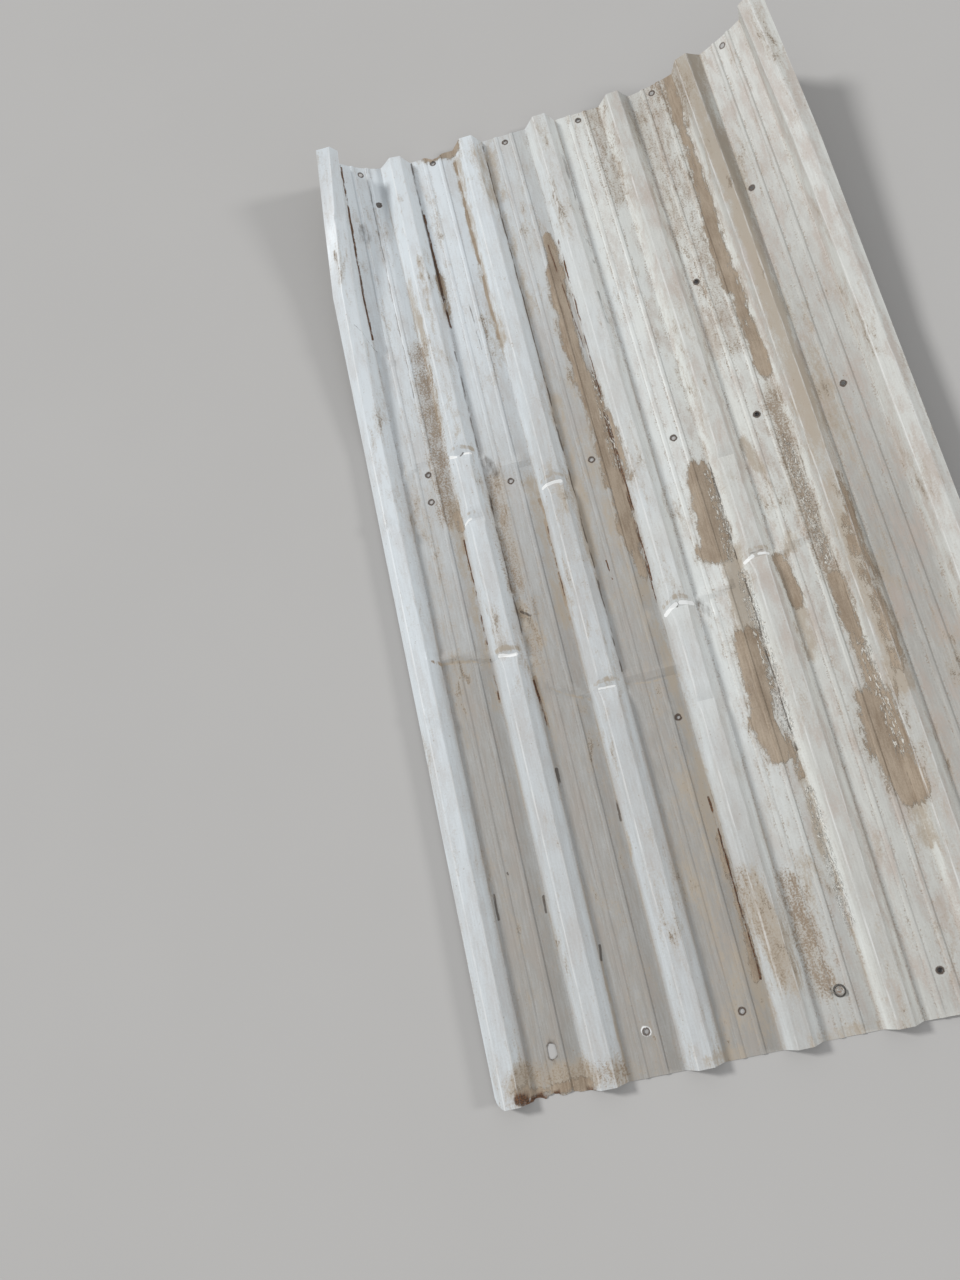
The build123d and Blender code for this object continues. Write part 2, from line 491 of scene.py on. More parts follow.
WIDE_MARKS = (
    # Mud and stains of the left half
    Mark(GRIME_AND_SHADE, ((-303, 1231), (-300, 1214)), 9, 0.5),
    Mark(MUD, ((-204, 1130), (-203, 1090), (-204, 1050)), 5, 0.62),
    Mark(DUST_AND_SHADE, ((-250, 1130), (-247, 1000), (-250, 880)), 6, 0.75),
    Mark(DUST_AND_SHADE, ((-137, 1316), (-139, 1160), (-137, 990)), 7, 0.75),
    Mark(DUST_AND_SHADE, ((-146, 770), (-147, 660), (-146, 560)), 9, 0.7),
    Mark(DUST_AND_SHADE, ((-262, 720), (-263, 600), (-262, 470)), 8, 0.7),
    Mark(DUST_AND_SHADE, ((-200, 520), (-198, 440), (-200, 380)), 9, 0.6),
    Mark(DUST_AND_SHADE, ((-85, 1240), (-86, 900), (-84, 560)), 8, 0.55),
    Mark(SPECKLES, ((-256, 1015), (-262, 887), (-268, 750)), 15, 0.9),
    Mark(MUD, ((-257, 752), (-255, 728)), 5, 0.8),
    Mark(DUST_AND_SHADE, ((-262, 770), (-260, 715)), 10, 0.8),
    Mark(MUD, ((-176, 1340), (-134, 1338)), 9, 0.9),
    Mark(DUST_AND_SHADE, ((-94, 1305), (-91, 1231)), 20, 0.7),
    Mark(GRIME_AND_SHADE, ((-200, 819), (-192, 797)), 8, 0.6),
    Mark(SPECKLES, ((-195, 788), (-197, 713), (-200, 625)), 13, 0.8),
    Mark(MUD, ((-200, 594), (-192, 574)), 5, 0.8),
    Mark(DUST_AND_SHADE, ((-198, 600), (-188, 545)), 11, 0.8),
    Mark(SPECKLES, ((-190, 600), (-194, 520)), 12, 0.6),
    # The wet run of mud beside the middle rib
    Mark(MUD, ((-34, 1143), (-37, 1090)), 7, 0.9),
    Mark(MUD, ((-38, 1080), (-41, 1030)), 12, 1.0),
    Mark(MUD, ((-40, 1020), (-40, 900)), 9, 0.95),
    Mark(MUD, ((-38, 905), (-34, 830), (-33, 740)), 14, 1.0),
    Mark(MUD, ((-32, 730), (-34, 650)), 11, 0.9),
    Mark(MUD, ((-33, 655), (-31, 600)), 7, 0.72),
    Mark(DUST_AND_SHADE, ((-40, 600), (-44, 520)), 13, 0.7),
    Mark(DUST_AND_SHADE, ((-50, 900), (-56, 700), (-56, 560)), 14, 0.6),
    Mark(DUST_AND_SHADE, ((-35, 560), (-30, 400), (-28, 230)), 7, 0.8),
    Mark(DUST_AND_SHADE, ((-60, 330), (-56, 180), (-52, 40)), 26, 0.5),
    Mark(DUST_AND_SHADE, ((-230, 1150), (-231, 1000), (-230, 860)), 7, 0.45),
    Mark(DUST_AND_SHADE, ((-118, 780), (-112, 700), (-116, 640)), 11, 0.5),
    Mark(DUST_AND_SHADE, ((-85, 883), (-85, 851)), 10, 0.8),
    Mark(DUST_AND_SHADE, ((-88, 758), (-90, 637)), 10, 0.8),
    Mark(MUD, ((-29, 250), (-29, 85)), 5, 0.75),
    Mark(DUST_AND_SHADE, ((-33, 330), (-32, 60)), 9, 0.7),
    Mark(DUST_AND_SHADE, ((-14, 190), (-4, 130), (2, 71)), 15, 0.6),
    Mark(SPECKLES, ((-16, 200), (-6, 120), (0, 74)), 12, 0.7),
    # Mud of the right half
    Mark(MUD, ((72, 722), (74, 690), (71, 650)), 15, 1.0),
    Mark(MUD, ((72, 640), (64, 607)), 17, 1.0),
    Mark(DUST_AND_SHADE, ((86, 600), (80, 540), (76, 469)), 13, 1.0),
    Mark(MUD, ((76, 480), (75, 420)), 17, 1.0),
    Mark(MUD, ((72, 410), (66, 370), (72, 335)), 14, 1.0),
    Mark(MUD, ((86, 340), (88, 300)), 6, 0.8),
    Mark(DUST_AND_SHADE, ((88, 300), (88, 200)), 6, 0.8),
    Mark(GRIME_AND_SHADE, ((26, 545), (35, 530)), 7, 0.5),
    Mark(SPECKLES, ((38, 180), (40, 120), (42, 60)), 16, 0.9),
    Mark(DUST_AND_SHADE, ((50, 200), (44, 110)), 18, 0.55),
    Mark(DUST_AND_SHADE, ((146, 747), (152, 705)), 9, 0.9),
    Mark(MUD, ((143, 575), (146, 545), (148, 515)), 8, 1.0),
    Mark(DUST_AND_SHADE, ((148, 514), (146, 440)), 9, 0.9),
    Mark(DUST_AND_SHADE, ((163, 600), (160, 585)), 10, 0.9),
    Mark(MUD, ((200, 1338), (200, 1230), (196, 1100)), 8, 0.75),
    Mark(MUD, ((194, 1100), (192, 1040), (195, 970)), 10, 0.9),
    Mark(MUD, ((198, 960), (200, 839)), 8, 0.85),
    Mark(SPECKLES, ((198, 800), (196, 687), (197, 536)), 12, 1.0),
    Mark(MUD, ((200, 530), (202, 460), (200, 380)), 9, 0.95),
    Mark(MUD, ((196, 370), (198, 300), (204, 255)), 17, 1.0),
    Mark(DUST_AND_SHADE, ((206, 240), (206, 190)), 9, 0.8),
    Mark(DUST_AND_SHADE, ((238, 1340), (236, 900), (234, 600), (238, 380)), 15, 0.95),
    Mark(MUD, ((240, 660), (238, 520), (240, 400)), 9, 0.75),
    Mark(SPECKLES, ((190, 1338), (210, 1280)), 26, 0.9),
    Mark(SPECKLES, ((80, 1338), (84, 1180)), 22, 0.6),
    Mark(SPECKLES, ((160, 1300), (170, 900)), 34, 0.55),
    Mark(DUST_AND_SHADE, ((266, 900), (268, 500)), 14, 0.5),
    # Rust and mud at the lower left end
    Mark(RUST, ((-338, 8), (-322, 2), (-306, 4)), 4.5, 0.95),
    Mark(RUST, ((-292, 4), (-284, 4)), 3.5, 0.8),
    Mark(RUST, ((-256, 2), (-244, 3)), 3.0, 0.75),
    Mark(MUD, ((-334, 12), (-290, 7), (-250, 5)), 6, 0.8),
    Mark(DUST_AND_SHADE, ((-330, 26), (-264, 18), (-200, 10)), 16, 0.75),
    Mark(SPECKLES, ((-330, 30), (-280, 24), (-210, 14)), 14, 0.7),
    # Painted shade round the torn hole, standing in for the dark of the hole
    Mark(GRIME_AND_SHADE, ((-287.5, 41), (-287.5, 59)), 5.6, 0.6),
    Mark(DUST_AND_SHADE, ((-110, 8), (-70, 4)), 8, 0.7),
    Mark(DUST_AND_SHADE, ((10, 4), (90, 6)), 7, 0.6),
    # Crumbs at the edges of the dried mud
    Mark(CRUMBS, ((88, 716), (88, 660), (84, 593)), 5, 1.0),
    Mark(CRUMBS, ((91, 566), (91, 456), (90, 359)), 5, 1.0),
    Mark(CRUMBS, ((91, 281), (91, 121)), 4.5, 0.9),
    Mark(CRUMBS, ((194, 735), (198, 644), (200, 556)), 5, 0.9),
    Mark(CRUMBS, ((207, 443), (208, 364), (209, 300)), 5, 1.0),
    Mark(CRUMBS, ((-24, 905), (-26, 760)), 4, 0.8),
)

THIN_MARKS = (
    # Rib 1's right foot: a dark line, partly grime and partly painted shade, and rust
    Mark(GRIME_AND_SHADE, ((-319, 1338), (-321, 1200), (-321, 1065)), 1.4, 0.5),
    Mark(RUST, ((-318, 1334), (-320, 1200), (-321, 1050)), 1.9, 0.85),
    Mark(GRIME_AND_SHADE, ((-277, 1338), (-278, 1257), (-279, 945)), 0.9, 0.6),
    Mark(GRIME_AND_SHADE, ((-345, 1064), (-318, 1027)), 0.9, 0.5),
    # Rib 2's right foot: a dark line, partly grime and partly painted shade, and rust
    Mark(GRIME_AND_SHADE, ((-205, 1338), (-206, 1207), (-206, 1083)), 1.8, 0.7),
    Mark(RUST, ((-204, 1240), (-205, 1040)), 2.2, 0.85),
    Mark(RUST, ((-254, 712), (-255, 560)), 1.4, 0.8),
    Mark(RUST, ((-255, 538), (-256, 483)), 1.3, 0.75),
    Mark(MUD, ((-256, 715), (-257, 480)), 3.0, 0.6),
    Mark(MUD, ((-140, 1316), (-141, 1160), (-140, 1002)), 2.6, 0.95),
    Mark(MUD, ((-140, 742), (-140, 566)), 2.6, 0.8),
    Mark(RUST, ((-139, 700), (-139, 600)), 1.0, 0.65),
    Mark(GRIME_AND_SHADE, ((-170, 1070), (-168, 992)), 1.0, 0.6),
    Mark(RUST, ((-205, 497), (-203, 435)), 1.4, 0.85),
    Mark(MUD, ((-203, 500), (-201, 430)), 3.2, 0.6),
    Mark(RUST, ((-74, 633), (-72, 604)), 1.0, 0.9),
    Mark(GRIME_AND_SHADE, ((-317, 241), (-317, 211)), 1.8, 0.9),
    Mark(GRIME_AND_SHADE, ((-256, 226), (-257, 208)), 2.0, 0.9),
    Mark(GRIME_AND_SHADE, ((-203, 156), (-205, 139)), 1.8, 0.9),
    Mark(DUST_AND_SHADE, ((-205, 139), (-206, 24)), 2.4, 0.95),
    Mark(GRIME_AND_SHADE, ((-204, 376), (-203, 354)), 2.6, 0.95),
    Mark(GRIME_AND_SHADE, ((-139, 319), (-140, 296)), 2.2, 0.85),
    Mark(DUST_AND_SHADE, ((-136, 281), (-138, 246)), 2.4, 0.85),
    Mark(GRIME_AND_SHADE, ((-294, 264), (-293, 262)), 1.6, 0.9),
    Mark(GRIME_AND_SHADE, ((-296, 192), (-295, 190)), 1.4, 0.9),
    Mark(GRIME_AND_SHADE, ((20, 1270), (20, 1174)), 2.6, 0.6),
    Mark(GRIME_AND_SHADE, ((19, 1116), (20, 1078)), 2.6, 0.55),
    Mark(GRIME_AND_SHADE, ((12, 1020), (15, 971)), 2.6, 0.6),
    Mark(RUST, ((-28, 300), (-27, 200), (-26, 80)), 1.3, 0.8),
    # Painted shadow along rib 3's right foot
    Mark(GRIME_AND_SHADE, ((-92, 1330), (-92, 900), (-92, 480)), 1.3, 0.85),
    # Rib 2's right foot further down: partly grime, partly painted shade
    Mark(GRIME_AND_SHADE, ((-207, 1000), (-207, 560)), 1.5, 0.7),
    Mark(GRIME_AND_SHADE, ((-138, 1330), (-138, 480)), 0.9, 0.4),
    # A faint line along rib 1's right foot, partly grime and partly painted shade
    Mark(GRIME_AND_SHADE, ((-321, 1040), (-321, 40)), 0.9, 0.35),
    Mark(RUST, ((-36, 1130), (-24, 900), (-24, 560)), 1.2, 0.6),
    Mark(GRIME_AND_SHADE, ((92, 1330), (92, 60)), 0.8, 0.4),
    Mark(GRIME_AND_SHADE, ((-23, 1330), (-23, 60)), 0.8, 0.45),
    # Painted highlights: pale glints across the ribs at the folds
    Mark(GLINT_AND_SCUFF, ((-246, 834), (-238, 829)), 2.0, 1.0),
    Mark(GLINT_AND_SCUFF, ((-226, 831), (-219, 830)), 2.0, 1.0),
    Mark(GLINT_AND_SCUFF, ((-246, 730), (-236, 733)), 1.6, 0.9),
    Mark(GLINT_AND_SCUFF, ((-240, 536), (-221, 533)), 2.4, 1.0),
    Mark(GLINT_AND_SCUFF, ((-131, 754), (-108, 755)), 2.2, 1.0),
    Mark(GLINT_AND_SCUFF, ((-124, 462), (-108, 461)), 1.6, 0.8),
    Mark(GLINT_AND_SCUFF, ((-17, 538), (-3, 546)), 2.8, 1.0),
    Mark(GLINT_AND_SCUFF, ((3, 547), (18, 544)), 2.6, 1.0),
    Mark(GLINT_AND_SCUFF, ((100, 580), (110, 584)), 2.4, 1.0),
    Mark(GLINT_AND_SCUFF, ((117, 585), (128, 584)), 1.8, 0.8),
    # Painted shade: darker lines just past each fold, further along the sheet
    Mark(DUST_AND_SHADE, ((-18, 549), (-2, 556), (16, 552)), 3.2, 0.75),
    Mark(DUST_AND_SHADE, ((100, 589), (114, 594), (128, 592)), 3.2, 0.75),
    Mark(DUST_AND_SHADE, ((-246, 841), (-230, 842), (-216, 838)), 3.2, 0.8),
    Mark(DUST_AND_SHADE, ((-244, 740), (-230, 741)), 3.0, 0.7),
    Mark(DUST_AND_SHADE, ((-243, 543), (-230, 545), (-217, 541)), 3.4, 0.8),
    Mark(DUST_AND_SHADE, ((-131, 762), (-116, 766), (-104, 763)), 3.4, 0.8),
    Mark(DUST_AND_SHADE, ((-128, 469), (-114, 472), (-102, 469)), 3.2, 0.7),
    # Darker brown lines along the lower side of three creases in the pans
    Mark(DUST_AND_SHADE, ((-326, 548), (-292, 544), (-255, 534)), 2.0, 0.85),
    Mark(DUST_AND_SHADE, ((-205, 500), (-180, 474), (-140, 454)), 1.6, 0.7),
    Mark(DUST_AND_SHADE, ((-90, 463), (-60, 457), (-25, 459)), 1.4, 0.7),
    Mark(MUD, ((-330, 552), (-321, 548)), 2.4, 0.8),
    Mark(GRIME_AND_SHADE, ((26, 546), (33, 538)), 2.2, 0.6),
    Mark(GRIME_AND_SHADE, ((-201, 592), (-190, 583)), 2.0, 0.85),
    # Painted shade in the folds of ribs 4, 2 and 5
    Mark(GRIME_AND_SHADE, ((-2, 543), (2, 549)), 1.6, 0.8),
    Mark(GRIME_AND_SHADE, ((-232, 829), (-228, 833)), 1.4, 0.8),
    Mark(GRIME_AND_SHADE, ((108, 588), (122, 589)), 1.0, 0.5),
    # Painted shade round the torn hole, standing in for the dark of the hole
    Mark(GRIME_AND_SHADE, ((-287.5, 45), (-287.5, 55)), 6.4, 1.0),
    Mark(GLINT_AND_SCUFF, ((-172.5, 50), (-172.5, 50.5)), 6.5, 0.75),
    Mark(GRIME_AND_SHADE, ((93, 730), (92, 590)), 1.2, 0.9),
    Mark(GRIME_AND_SHADE, ((93, 560), (92, 330)), 1.2, 0.9),
    Mark(GRIME_AND_SHADE, ((208, 720), (208, 260)), 1.0, 0.5),
    Mark(RUST, ((-20, 1130), (-21, 900), (-22, 590)), 1.3, 0.75),
    Mark(DUST_AND_SHADE, ((93, 300), (92, 60)), 2.0, 0.8),
)


# Finishes


@dataclass(frozen=True)
class Ground:
    """What the layers on the paint share: places in millimetres, wide marks and noises."""

    across: Socket
    flat: Socket
    streaked: Socket
    drawn: Socket
    wandering: Socket
    mud: Socket
    grime_and_shade: Socket
    dust: Socket
    rust: Socket
    speckles: Socket
    crumbs: Socket
    film_and_shade: Socket
    blotches: Socket
    streaks: Socket
    ragged: Socket
    grain: Socket
    specks: Socket
    broken: Socket
    wide: Socket


@dataclass(frozen=True)
class WeatheredPaint:
    """Old off-white paint with all that lies on it. Sizes are in millimetres."""

    cool: Colour = (0.655, 0.7, 0.725)
    warm: Colour = (0.68, 0.69, 0.655)
    # The colour of the dust film, which also paints shade
    film_and_shade: Colour = (0.315, 0.3, 0.275)
    # Dust, also the colour of the painted shade lines beside the folds
    dust: Colour = (0.4, 0.345, 0.275)
    pink_dust: Colour = (0.46, 0.39, 0.34)
    dry_mud: Colour = (0.41, 0.335, 0.255)
    wet_mud: Colour = (0.255, 0.19, 0.132)
    # Grime, also the colour of painted shade at rib feet, folds and the torn hole
    grime_and_shade: Colour = (0.075, 0.058, 0.045)
    rust: Colour = (0.2, 0.095, 0.045)
    # Dark rust, also the colour of the painted shade round the holes
    dark_rust_and_hole_shade: Colour = (0.07, 0.045, 0.032)
    crumb: Colour = (0.74, 0.72, 0.66)
    # The pale of the painted highlights on the crest bends and folds, and of a scuff by one hole
    highlight_and_scuff: Colour = (0.84, 0.85, 0.84)
    paint_roughness: float = 0.4
    dirt_roughness: float = 0.82
    gloss: float = 0.35
    rib_pitch: float = 115.0
    rib_foot: float = 24.0
    stiffener_place: float = 45.5
    crest_bend: float = 9.3
    mark_wander: float = 5.0
    foot_dust_cover: float = 0.6
    groove_dust_cover: float = 0.3
    bend_specks_cover: float = 0.8
    pink_covers: Point = (0.2, 0.62)
    dust_cover: float = 0.85
    speckle_cover: float = 0.85
    wash_cover: float = 0.5
    mud_cover: float = 0.93
    grime_and_shade_cover: float = 0.8
    # How strong the painted highlight along the crest bends is
    crest_highlight_cover: float = 0.45
    # The painted shade round each hole: where it starts and where it is full, and how strong
    hole_shade_radii: Point = (5.6, 4.3)
    hole_shade_cover: float = 0.92
    crumb_cover: float = 0.85

    @staticmethod
    def thin_cover(build: NodeBuilder, place: Socket, layer: Layer) -> object:
        """How much thin marks of one layer cover.

        Args:
            build: The material's builder.
            place: The socket of the place in millimetres, with no height.
            layer: The layer.

        Returns:
            The socket of the cover, or 0 where there are none.
        """
        total = 0.0
        for mark in THIN_MARKS:
            if mark.layer is not layer:
                continue
            for start, end in zip(mark.line, mark.line[1:]):
                inputs = {"So Far": total, "Place": place, "Start": (*start, 0.0), "End": (*end, 0.0)}
                inputs |= {"Half Width": mark.half_width, "Strength": mark.strength}
                run = build.node("ShaderNodeGroup", node_tree=bpy.data.node_groups["Thin Mark"])
                for name, value in inputs.items():
                    build.feed(run.inputs[name], value)
                total = run.outputs[0]
        return total

    def with_thin(self, build: NodeBuilder, on: Ground, wide: Socket, layer: Layer) -> Socket:
        """Join the wide and the thin marks of one layer.

        Args:
            build: The material's builder.
            on: What the layers share.
            wide: The socket of the wide marks.
            layer: The layer.

        Returns:
            The socket of both together.
        """
        return build.math("MAXIMUM", wide, build.times(self.thin_cover(build, on.wandering, layer), on.broken))

    @staticmethod
    def near_hole(build: NodeBuilder, place: Socket, holes: Sequence[Point]) -> Socket:
        """How far the nearest screw hole's middle is.

        Args:
            build: The material's builder.
            place: The socket of the place in millimetres, with no height.
            holes: Across and along of each hole.

        Returns:
            The distance's socket, in millimetres.
        """
        nearest = 1000.0
        for hole in holes:
            nearest = build.math("MINIMUM", nearest, build.vector("DISTANCE", place, (*hole, 0.0)))
        return nearest

    def ground(self, build: NodeBuilder) -> Ground:
        """Read the sheet's attributes, and make the noises that the layers share.

        Args:
            build: The material's builder.

        Returns:
            What the layers share.
        """
        sockets = {
            name: build.node("ShaderNodeAttribute", attribute_name=name).outputs["Vector"]
            for name in (PLACE, "soil_and_shade", "spots", "film_and_shade")
        }
        place = build.scaled(sockets[PLACE], 1000.0)
        across, along, height = build.parts(place)
        flat = build.joined(across, along, 0.0)
        streaked = build.joined(across, build.times(along, 0.07), height)
        drawn = build.joined(across, build.times(along, 0.3), height)
        wander = build.node("ShaderNodeTexNoise", {"Vector": drawn, "Scale": 0.07, "Detail": 4.0}).outputs["Color"]
        wander = build.scaled(build.vector("SUBTRACT", wander, (0.5, 0.5, 0.5)), self.mark_wander)
        wandering = build.vector("ADD", flat, build.vector("MULTIPLY", wander, (1.0, 1.0, 0.0)))
        mud, grime_and_shade, dust = build.parts(sockets["soil_and_shade"])
        rust, speckles, crumbs = build.parts(sockets["spots"])
        return Ground(
            across=across, flat=flat, streaked=streaked, drawn=drawn, wandering=wandering,
            mud=mud, grime_and_shade=grime_and_shade, dust=dust, rust=rust, speckles=speckles, crumbs=crumbs,
            film_and_shade=build.parts(sockets["film_and_shade"])[0],
            wide=build.noise(flat, 0.012, 2.0),
            blotches=build.noise(drawn, 0.045, 5.0, 0.62),
            streaks=build.noise(streaked, 0.4, 5.0, 0.66),
            ragged=build.noise(drawn, 0.13, 7.0, 0.74),
            grain=build.noise(flat, 0.6, 4.0, 0.7),
            specks=build.noise(flat, 0.4, 4.0, 0.75),
            broken=build.ramp(build.noise(drawn, 0.1, 3.0, 0.6), 0.36, 0.54, (0.35, 1.0)),
        )

    def filmed_and_shaded_paint(self, build: NodeBuilder, on: Ground) -> tuple[Socket, Socket]:
        """The paint, cooler to the left, under a streaky film of dust that is partly painted shade.

        Args:
            build: The material's builder.
            on: What the layers share.

        Returns:
            The sockets of the colour and of the thickness of the film and its painted shade.
        """
        sidewise = build.ramp(build.plus(on.across, build.times(on.wide, 160.0)), -60.0, 220.0)
        colour = build.blend(sidewise, self.cool, self.warm)
        film_and_shade = build.plus(on.film_and_shade, build.swing(on.streaks, 0.6))
        film_and_shade = build.plus(film_and_shade, build.swing(on.specks, 0.34))
        film_and_shade = build.math("ADD", film_and_shade, build.swing(on.blotches, 0.4), clamp=True)
        return build.blend(film_and_shade, colour, self.film_and_shade), film_and_shade

    def dust_in_bends(self, build: NodeBuilder, on: Ground, beside: Socket, colour: Socket) -> Socket:
        """Lay dust in the bends along each rib's foot and beside the small stiffeners.

        Args:
            build: The material's builder.
            on: What the layers share.
            beside: The socket of how far the nearest rib's middle is.
            colour: The colour so far.

        Returns:
            The new colour's socket.
        """
        foot = build.ramp(build.apart(beside, self.rib_foot), 3.0, 0.0)
        groove = build.ramp(build.apart(build.apart(beside, self.stiffener_place), 3.7), 0.9, 0.1)
        patchy = build.ramp(build.noise(on.streaked, 0.09, 4.0), 0.42, 0.66)
        foot = build.times(foot, patchy, self.foot_dust_cover)
        groove = build.times(groove, patchy, self.groove_dust_cover)
        return build.blend(build.math("MAXIMUM", foot, groove), colour, self.dust)

    def specks_in_bends(self, build: NodeBuilder, on: Ground, beside: Socket, colour: Socket) -> Socket:
        """Lay ragged specks along the same lines, more to the right.

        Args:
            build: The material's builder.
            on: What the layers share.
            beside: The socket of how far the nearest rib's middle is.
            colour: The colour so far.

        Returns:
            The new colour's socket.
        """
        by_foot = build.ramp(build.apart(beside, self.rib_foot + 0.5), 5.0, 1.0)
        by_groove = build.ramp(build.apart(build.apart(beside, self.stiffener_place), 4.5), 2.6, 0.6)
        along_bends = build.math("MAXIMUM", by_foot, by_groove)
        bitty = build.plus(build.times(on.specks, 0.55), build.times(on.ragged, 0.45))
        bitty = build.times(build.ramp(bitty, 0.52, 0.59), build.ramp(on.across, -60.0, 90.0, (0.3, 1.0)))
        cover = build.times(bitty, along_bends, self.bend_specks_cover)
        return build.blend(cover, colour, self.wet_mud)

    def pink_blotches(self, build: NodeBuilder, on: Ground, colour: Socket) -> Socket:
        """Lay pinkish dust in blotches, mostly on the right half.

        Args:
            build: The material's builder.
            on: What the layers share.
            colour: The colour so far.

        Returns:
            The new colour's socket.
        """
        pink = build.plus(build.times(on.blotches, 0.7), build.times(on.ragged, 0.35))
        pink = build.ramp(build.plus(pink, build.times(on.specks, 0.25)), 0.6, 0.78)
        pink = build.times(pink, build.ramp(on.across, 0.0, 130.0, self.pink_covers))
        return build.blend(pink, colour, self.pink_dust)

    def speckled(self, build: NodeBuilder, on: Ground, wobble: Socket, colour: Socket) -> Socket:
        """Lay patches of small dark spots on thin dust.

        Args:
            build: The material's builder.
            on: What the layers share.
            wobble: The socket of the noise that makes edges ragged.
            colour: The colour so far.

        Returns:
            The new colour's socket.
        """
        under = build.times(build.ramp(build.plus(on.speckles, wobble), 0.1, 0.8), 0.4)
        colour = build.blend(under, colour, self.dust)
        spotted = build.plus(build.times(on.specks, 0.6), build.times(on.ragged, 0.5))
        spotted = build.ramp(build.plus(spotted, build.times(on.speckles, 0.2)), 0.66, 0.78)
        spotted = build.times(spotted, build.ramp(on.speckles, 0.02, 0.4))
        return build.blend(build.times(spotted, self.speckle_cover), colour, self.wet_mud)

    def muddy(
        self, build: NodeBuilder, on: Ground, wobble: Socket, colour: Socket
    ) -> tuple[Socket, Socket, Socket]:
        """Lay mud with a washed edge, wetter in places.

        Args:
            build: The material's builder.
            on: What the layers share.
            wobble: The socket of the noise that makes edges ragged.
            colour: The colour so far.

        Returns:
            The sockets of the new colour, of all the mud, and of the thick mud of the wide marks.
        """
        thick_mud = build.ramp(build.plus(on.mud, wobble), 0.38, 0.62)
        mud_edge = build.plus(self.with_thin(build, on, on.mud, MUD), wobble)
        wash = build.times(build.ramp(mud_edge, 0.05, 0.55), self.wash_cover)
        colour = build.blend(wash, colour, self.dust)
        mud = build.ramp(mud_edge, 0.38, 0.62)
        wetness = build.plus(build.times(on.blotches, 0.6), build.times(on.streaks, 0.4))
        wetness = build.ramp(build.plus(wetness, build.times(on.specks, 0.3)), 0.5, 0.78)
        mud_colour = build.blend(wetness, self.wet_mud, self.dry_mud)
        return build.blend(build.times(mud, self.mud_cover), colour, mud_colour), mud, thick_mud

    def rusty(self, build: NodeBuilder, on: Ground, wobble: Socket, colour: Socket) -> tuple[Socket, Socket]:
        """Lay rust in two tones.

        Args:
            build: The material's builder.
            on: What the layers share.
            wobble: The socket of the noise that makes edges ragged.
            colour: The colour so far.

        Returns:
            The sockets of the new colour and of the rust.
        """
        rust = self.with_thin(build, on, on.rust, RUST)
        rust = build.ramp(build.plus(rust, build.times(wobble, 0.6)), 0.25, 0.75)
        rust_colour = build.blend(build.ramp(on.grain, 0.42, 0.62), self.dark_rust_and_hole_shade, self.rust)
        return build.blend(rust, colour, rust_colour), rust

    def grimy_and_shaded(self, build: NodeBuilder, on: Ground, colour: Socket) -> Socket:
        """Lay dark grime, and the painted shade that grime marks draw at rib feet, folds and the torn hole.

        Args:
            build: The material's builder.
            on: What the layers share.
            colour: The colour so far.

        Returns:
            The new colour's socket.
        """
        grime_and_shade = self.with_thin(build, on, on.grime_and_shade, GRIME_AND_SHADE)
        grime_and_shade = build.ramp(build.plus(grime_and_shade, build.swing(on.ragged, 1.1)), 0.2, 0.85)
        return build.blend(build.times(grime_and_shade, self.grime_and_shade_cover), colour, self.grime_and_shade)

    def highlights_and_scuffs(self, build: NodeBuilder, on: Ground, beside: Socket, colour: Socket) -> Socket:
        """Paint a pale highlight along the bends of the crests and pale glints across the folds, both painted
        highlights, and a pale scuff by one hole.

        Args:
            build: The material's builder.
            on: What the layers share.
            beside: The socket of how far the nearest rib's middle is.
            colour: The colour so far.

        Returns:
            The new colour's socket.
        """
        # Painted highlight: a pale line along each bend of the crests
        crest_highlight = build.ramp(build.apart(beside, self.crest_bend), 1.5, 0.3)
        crest_highlight = build.times(crest_highlight, build.ramp(on.streaks, 0.4, 0.6), self.crest_highlight_cover)
        colour = build.blend(crest_highlight, colour, self.highlight_and_scuff)
        # Painted highlights across the folds, and a pale scuff by one hole
        glints_and_scuffs = self.thin_cover(build, on.wandering, GLINT_AND_SCUFF)
        glints_and_scuffs = build.ramp(build.plus(glints_and_scuffs, build.swing(on.specks, 0.5)), 0.35, 0.6)
        return build.blend(glints_and_scuffs, colour, self.highlight_and_scuff)

    def hole_shade_rims(self, build: NodeBuilder, on: Ground, holes: Sequence[Point], colour: Socket) -> Socket:
        """Paint shade round each hole, standing in for the dark of the hole, in a dark rust colour.

        Args:
            build: The material's builder.
            on: What the layers share.
            holes: Across and along of each hole.
            colour: The colour so far.

        Returns:
            The new colour's socket.
        """
        hole = self.near_hole(build, on.flat, holes)
        hole = build.plus(hole, build.swing(on.ragged, 4.0))
        hole_shade = build.ramp(hole, *self.hole_shade_radii)
        return build.blend(build.times(hole_shade, self.hole_shade_cover), colour, self.dark_rust_and_hole_shade)

    def dots_and_crumbs(self, build: NodeBuilder, on: Ground, colour: Socket) -> tuple[Socket, Socket]:
        """Lay small dark dots all over, in two sizes, and pale crumbs beside the mud.

        Args:
            build: The material's builder.
            on: What the layers share.
            colour: The colour so far.

        Returns:
            The sockets of the new colour and of the crumbs.
        """
        for spacing, size, shown in ((0.055, 0.07, 0.65), (0.15, 0.16, 0.4)):
            dots = build.node("ShaderNodeTexVoronoi", {"Vector": on.wandering, "Scale": spacing, "Randomness": 1.0})
            dot = build.ramp(dots.outputs["Distance"], size, size / 2)
            dot = build.times(dot, build.ramp(on.ragged, 0.44, 0.6), shown)
            colour = build.blend(dot, colour, self.wet_mud)
        crumb = build.noise(on.drawn, 0.36, 4.0, 0.75)
        crumb = build.times(build.ramp(crumb, 0.52, 0.58), build.ramp(on.crumbs, 0.15, 0.45))
        return build.blend(build.times(crumb, self.crumb_cover), colour, self.crumb), crumb

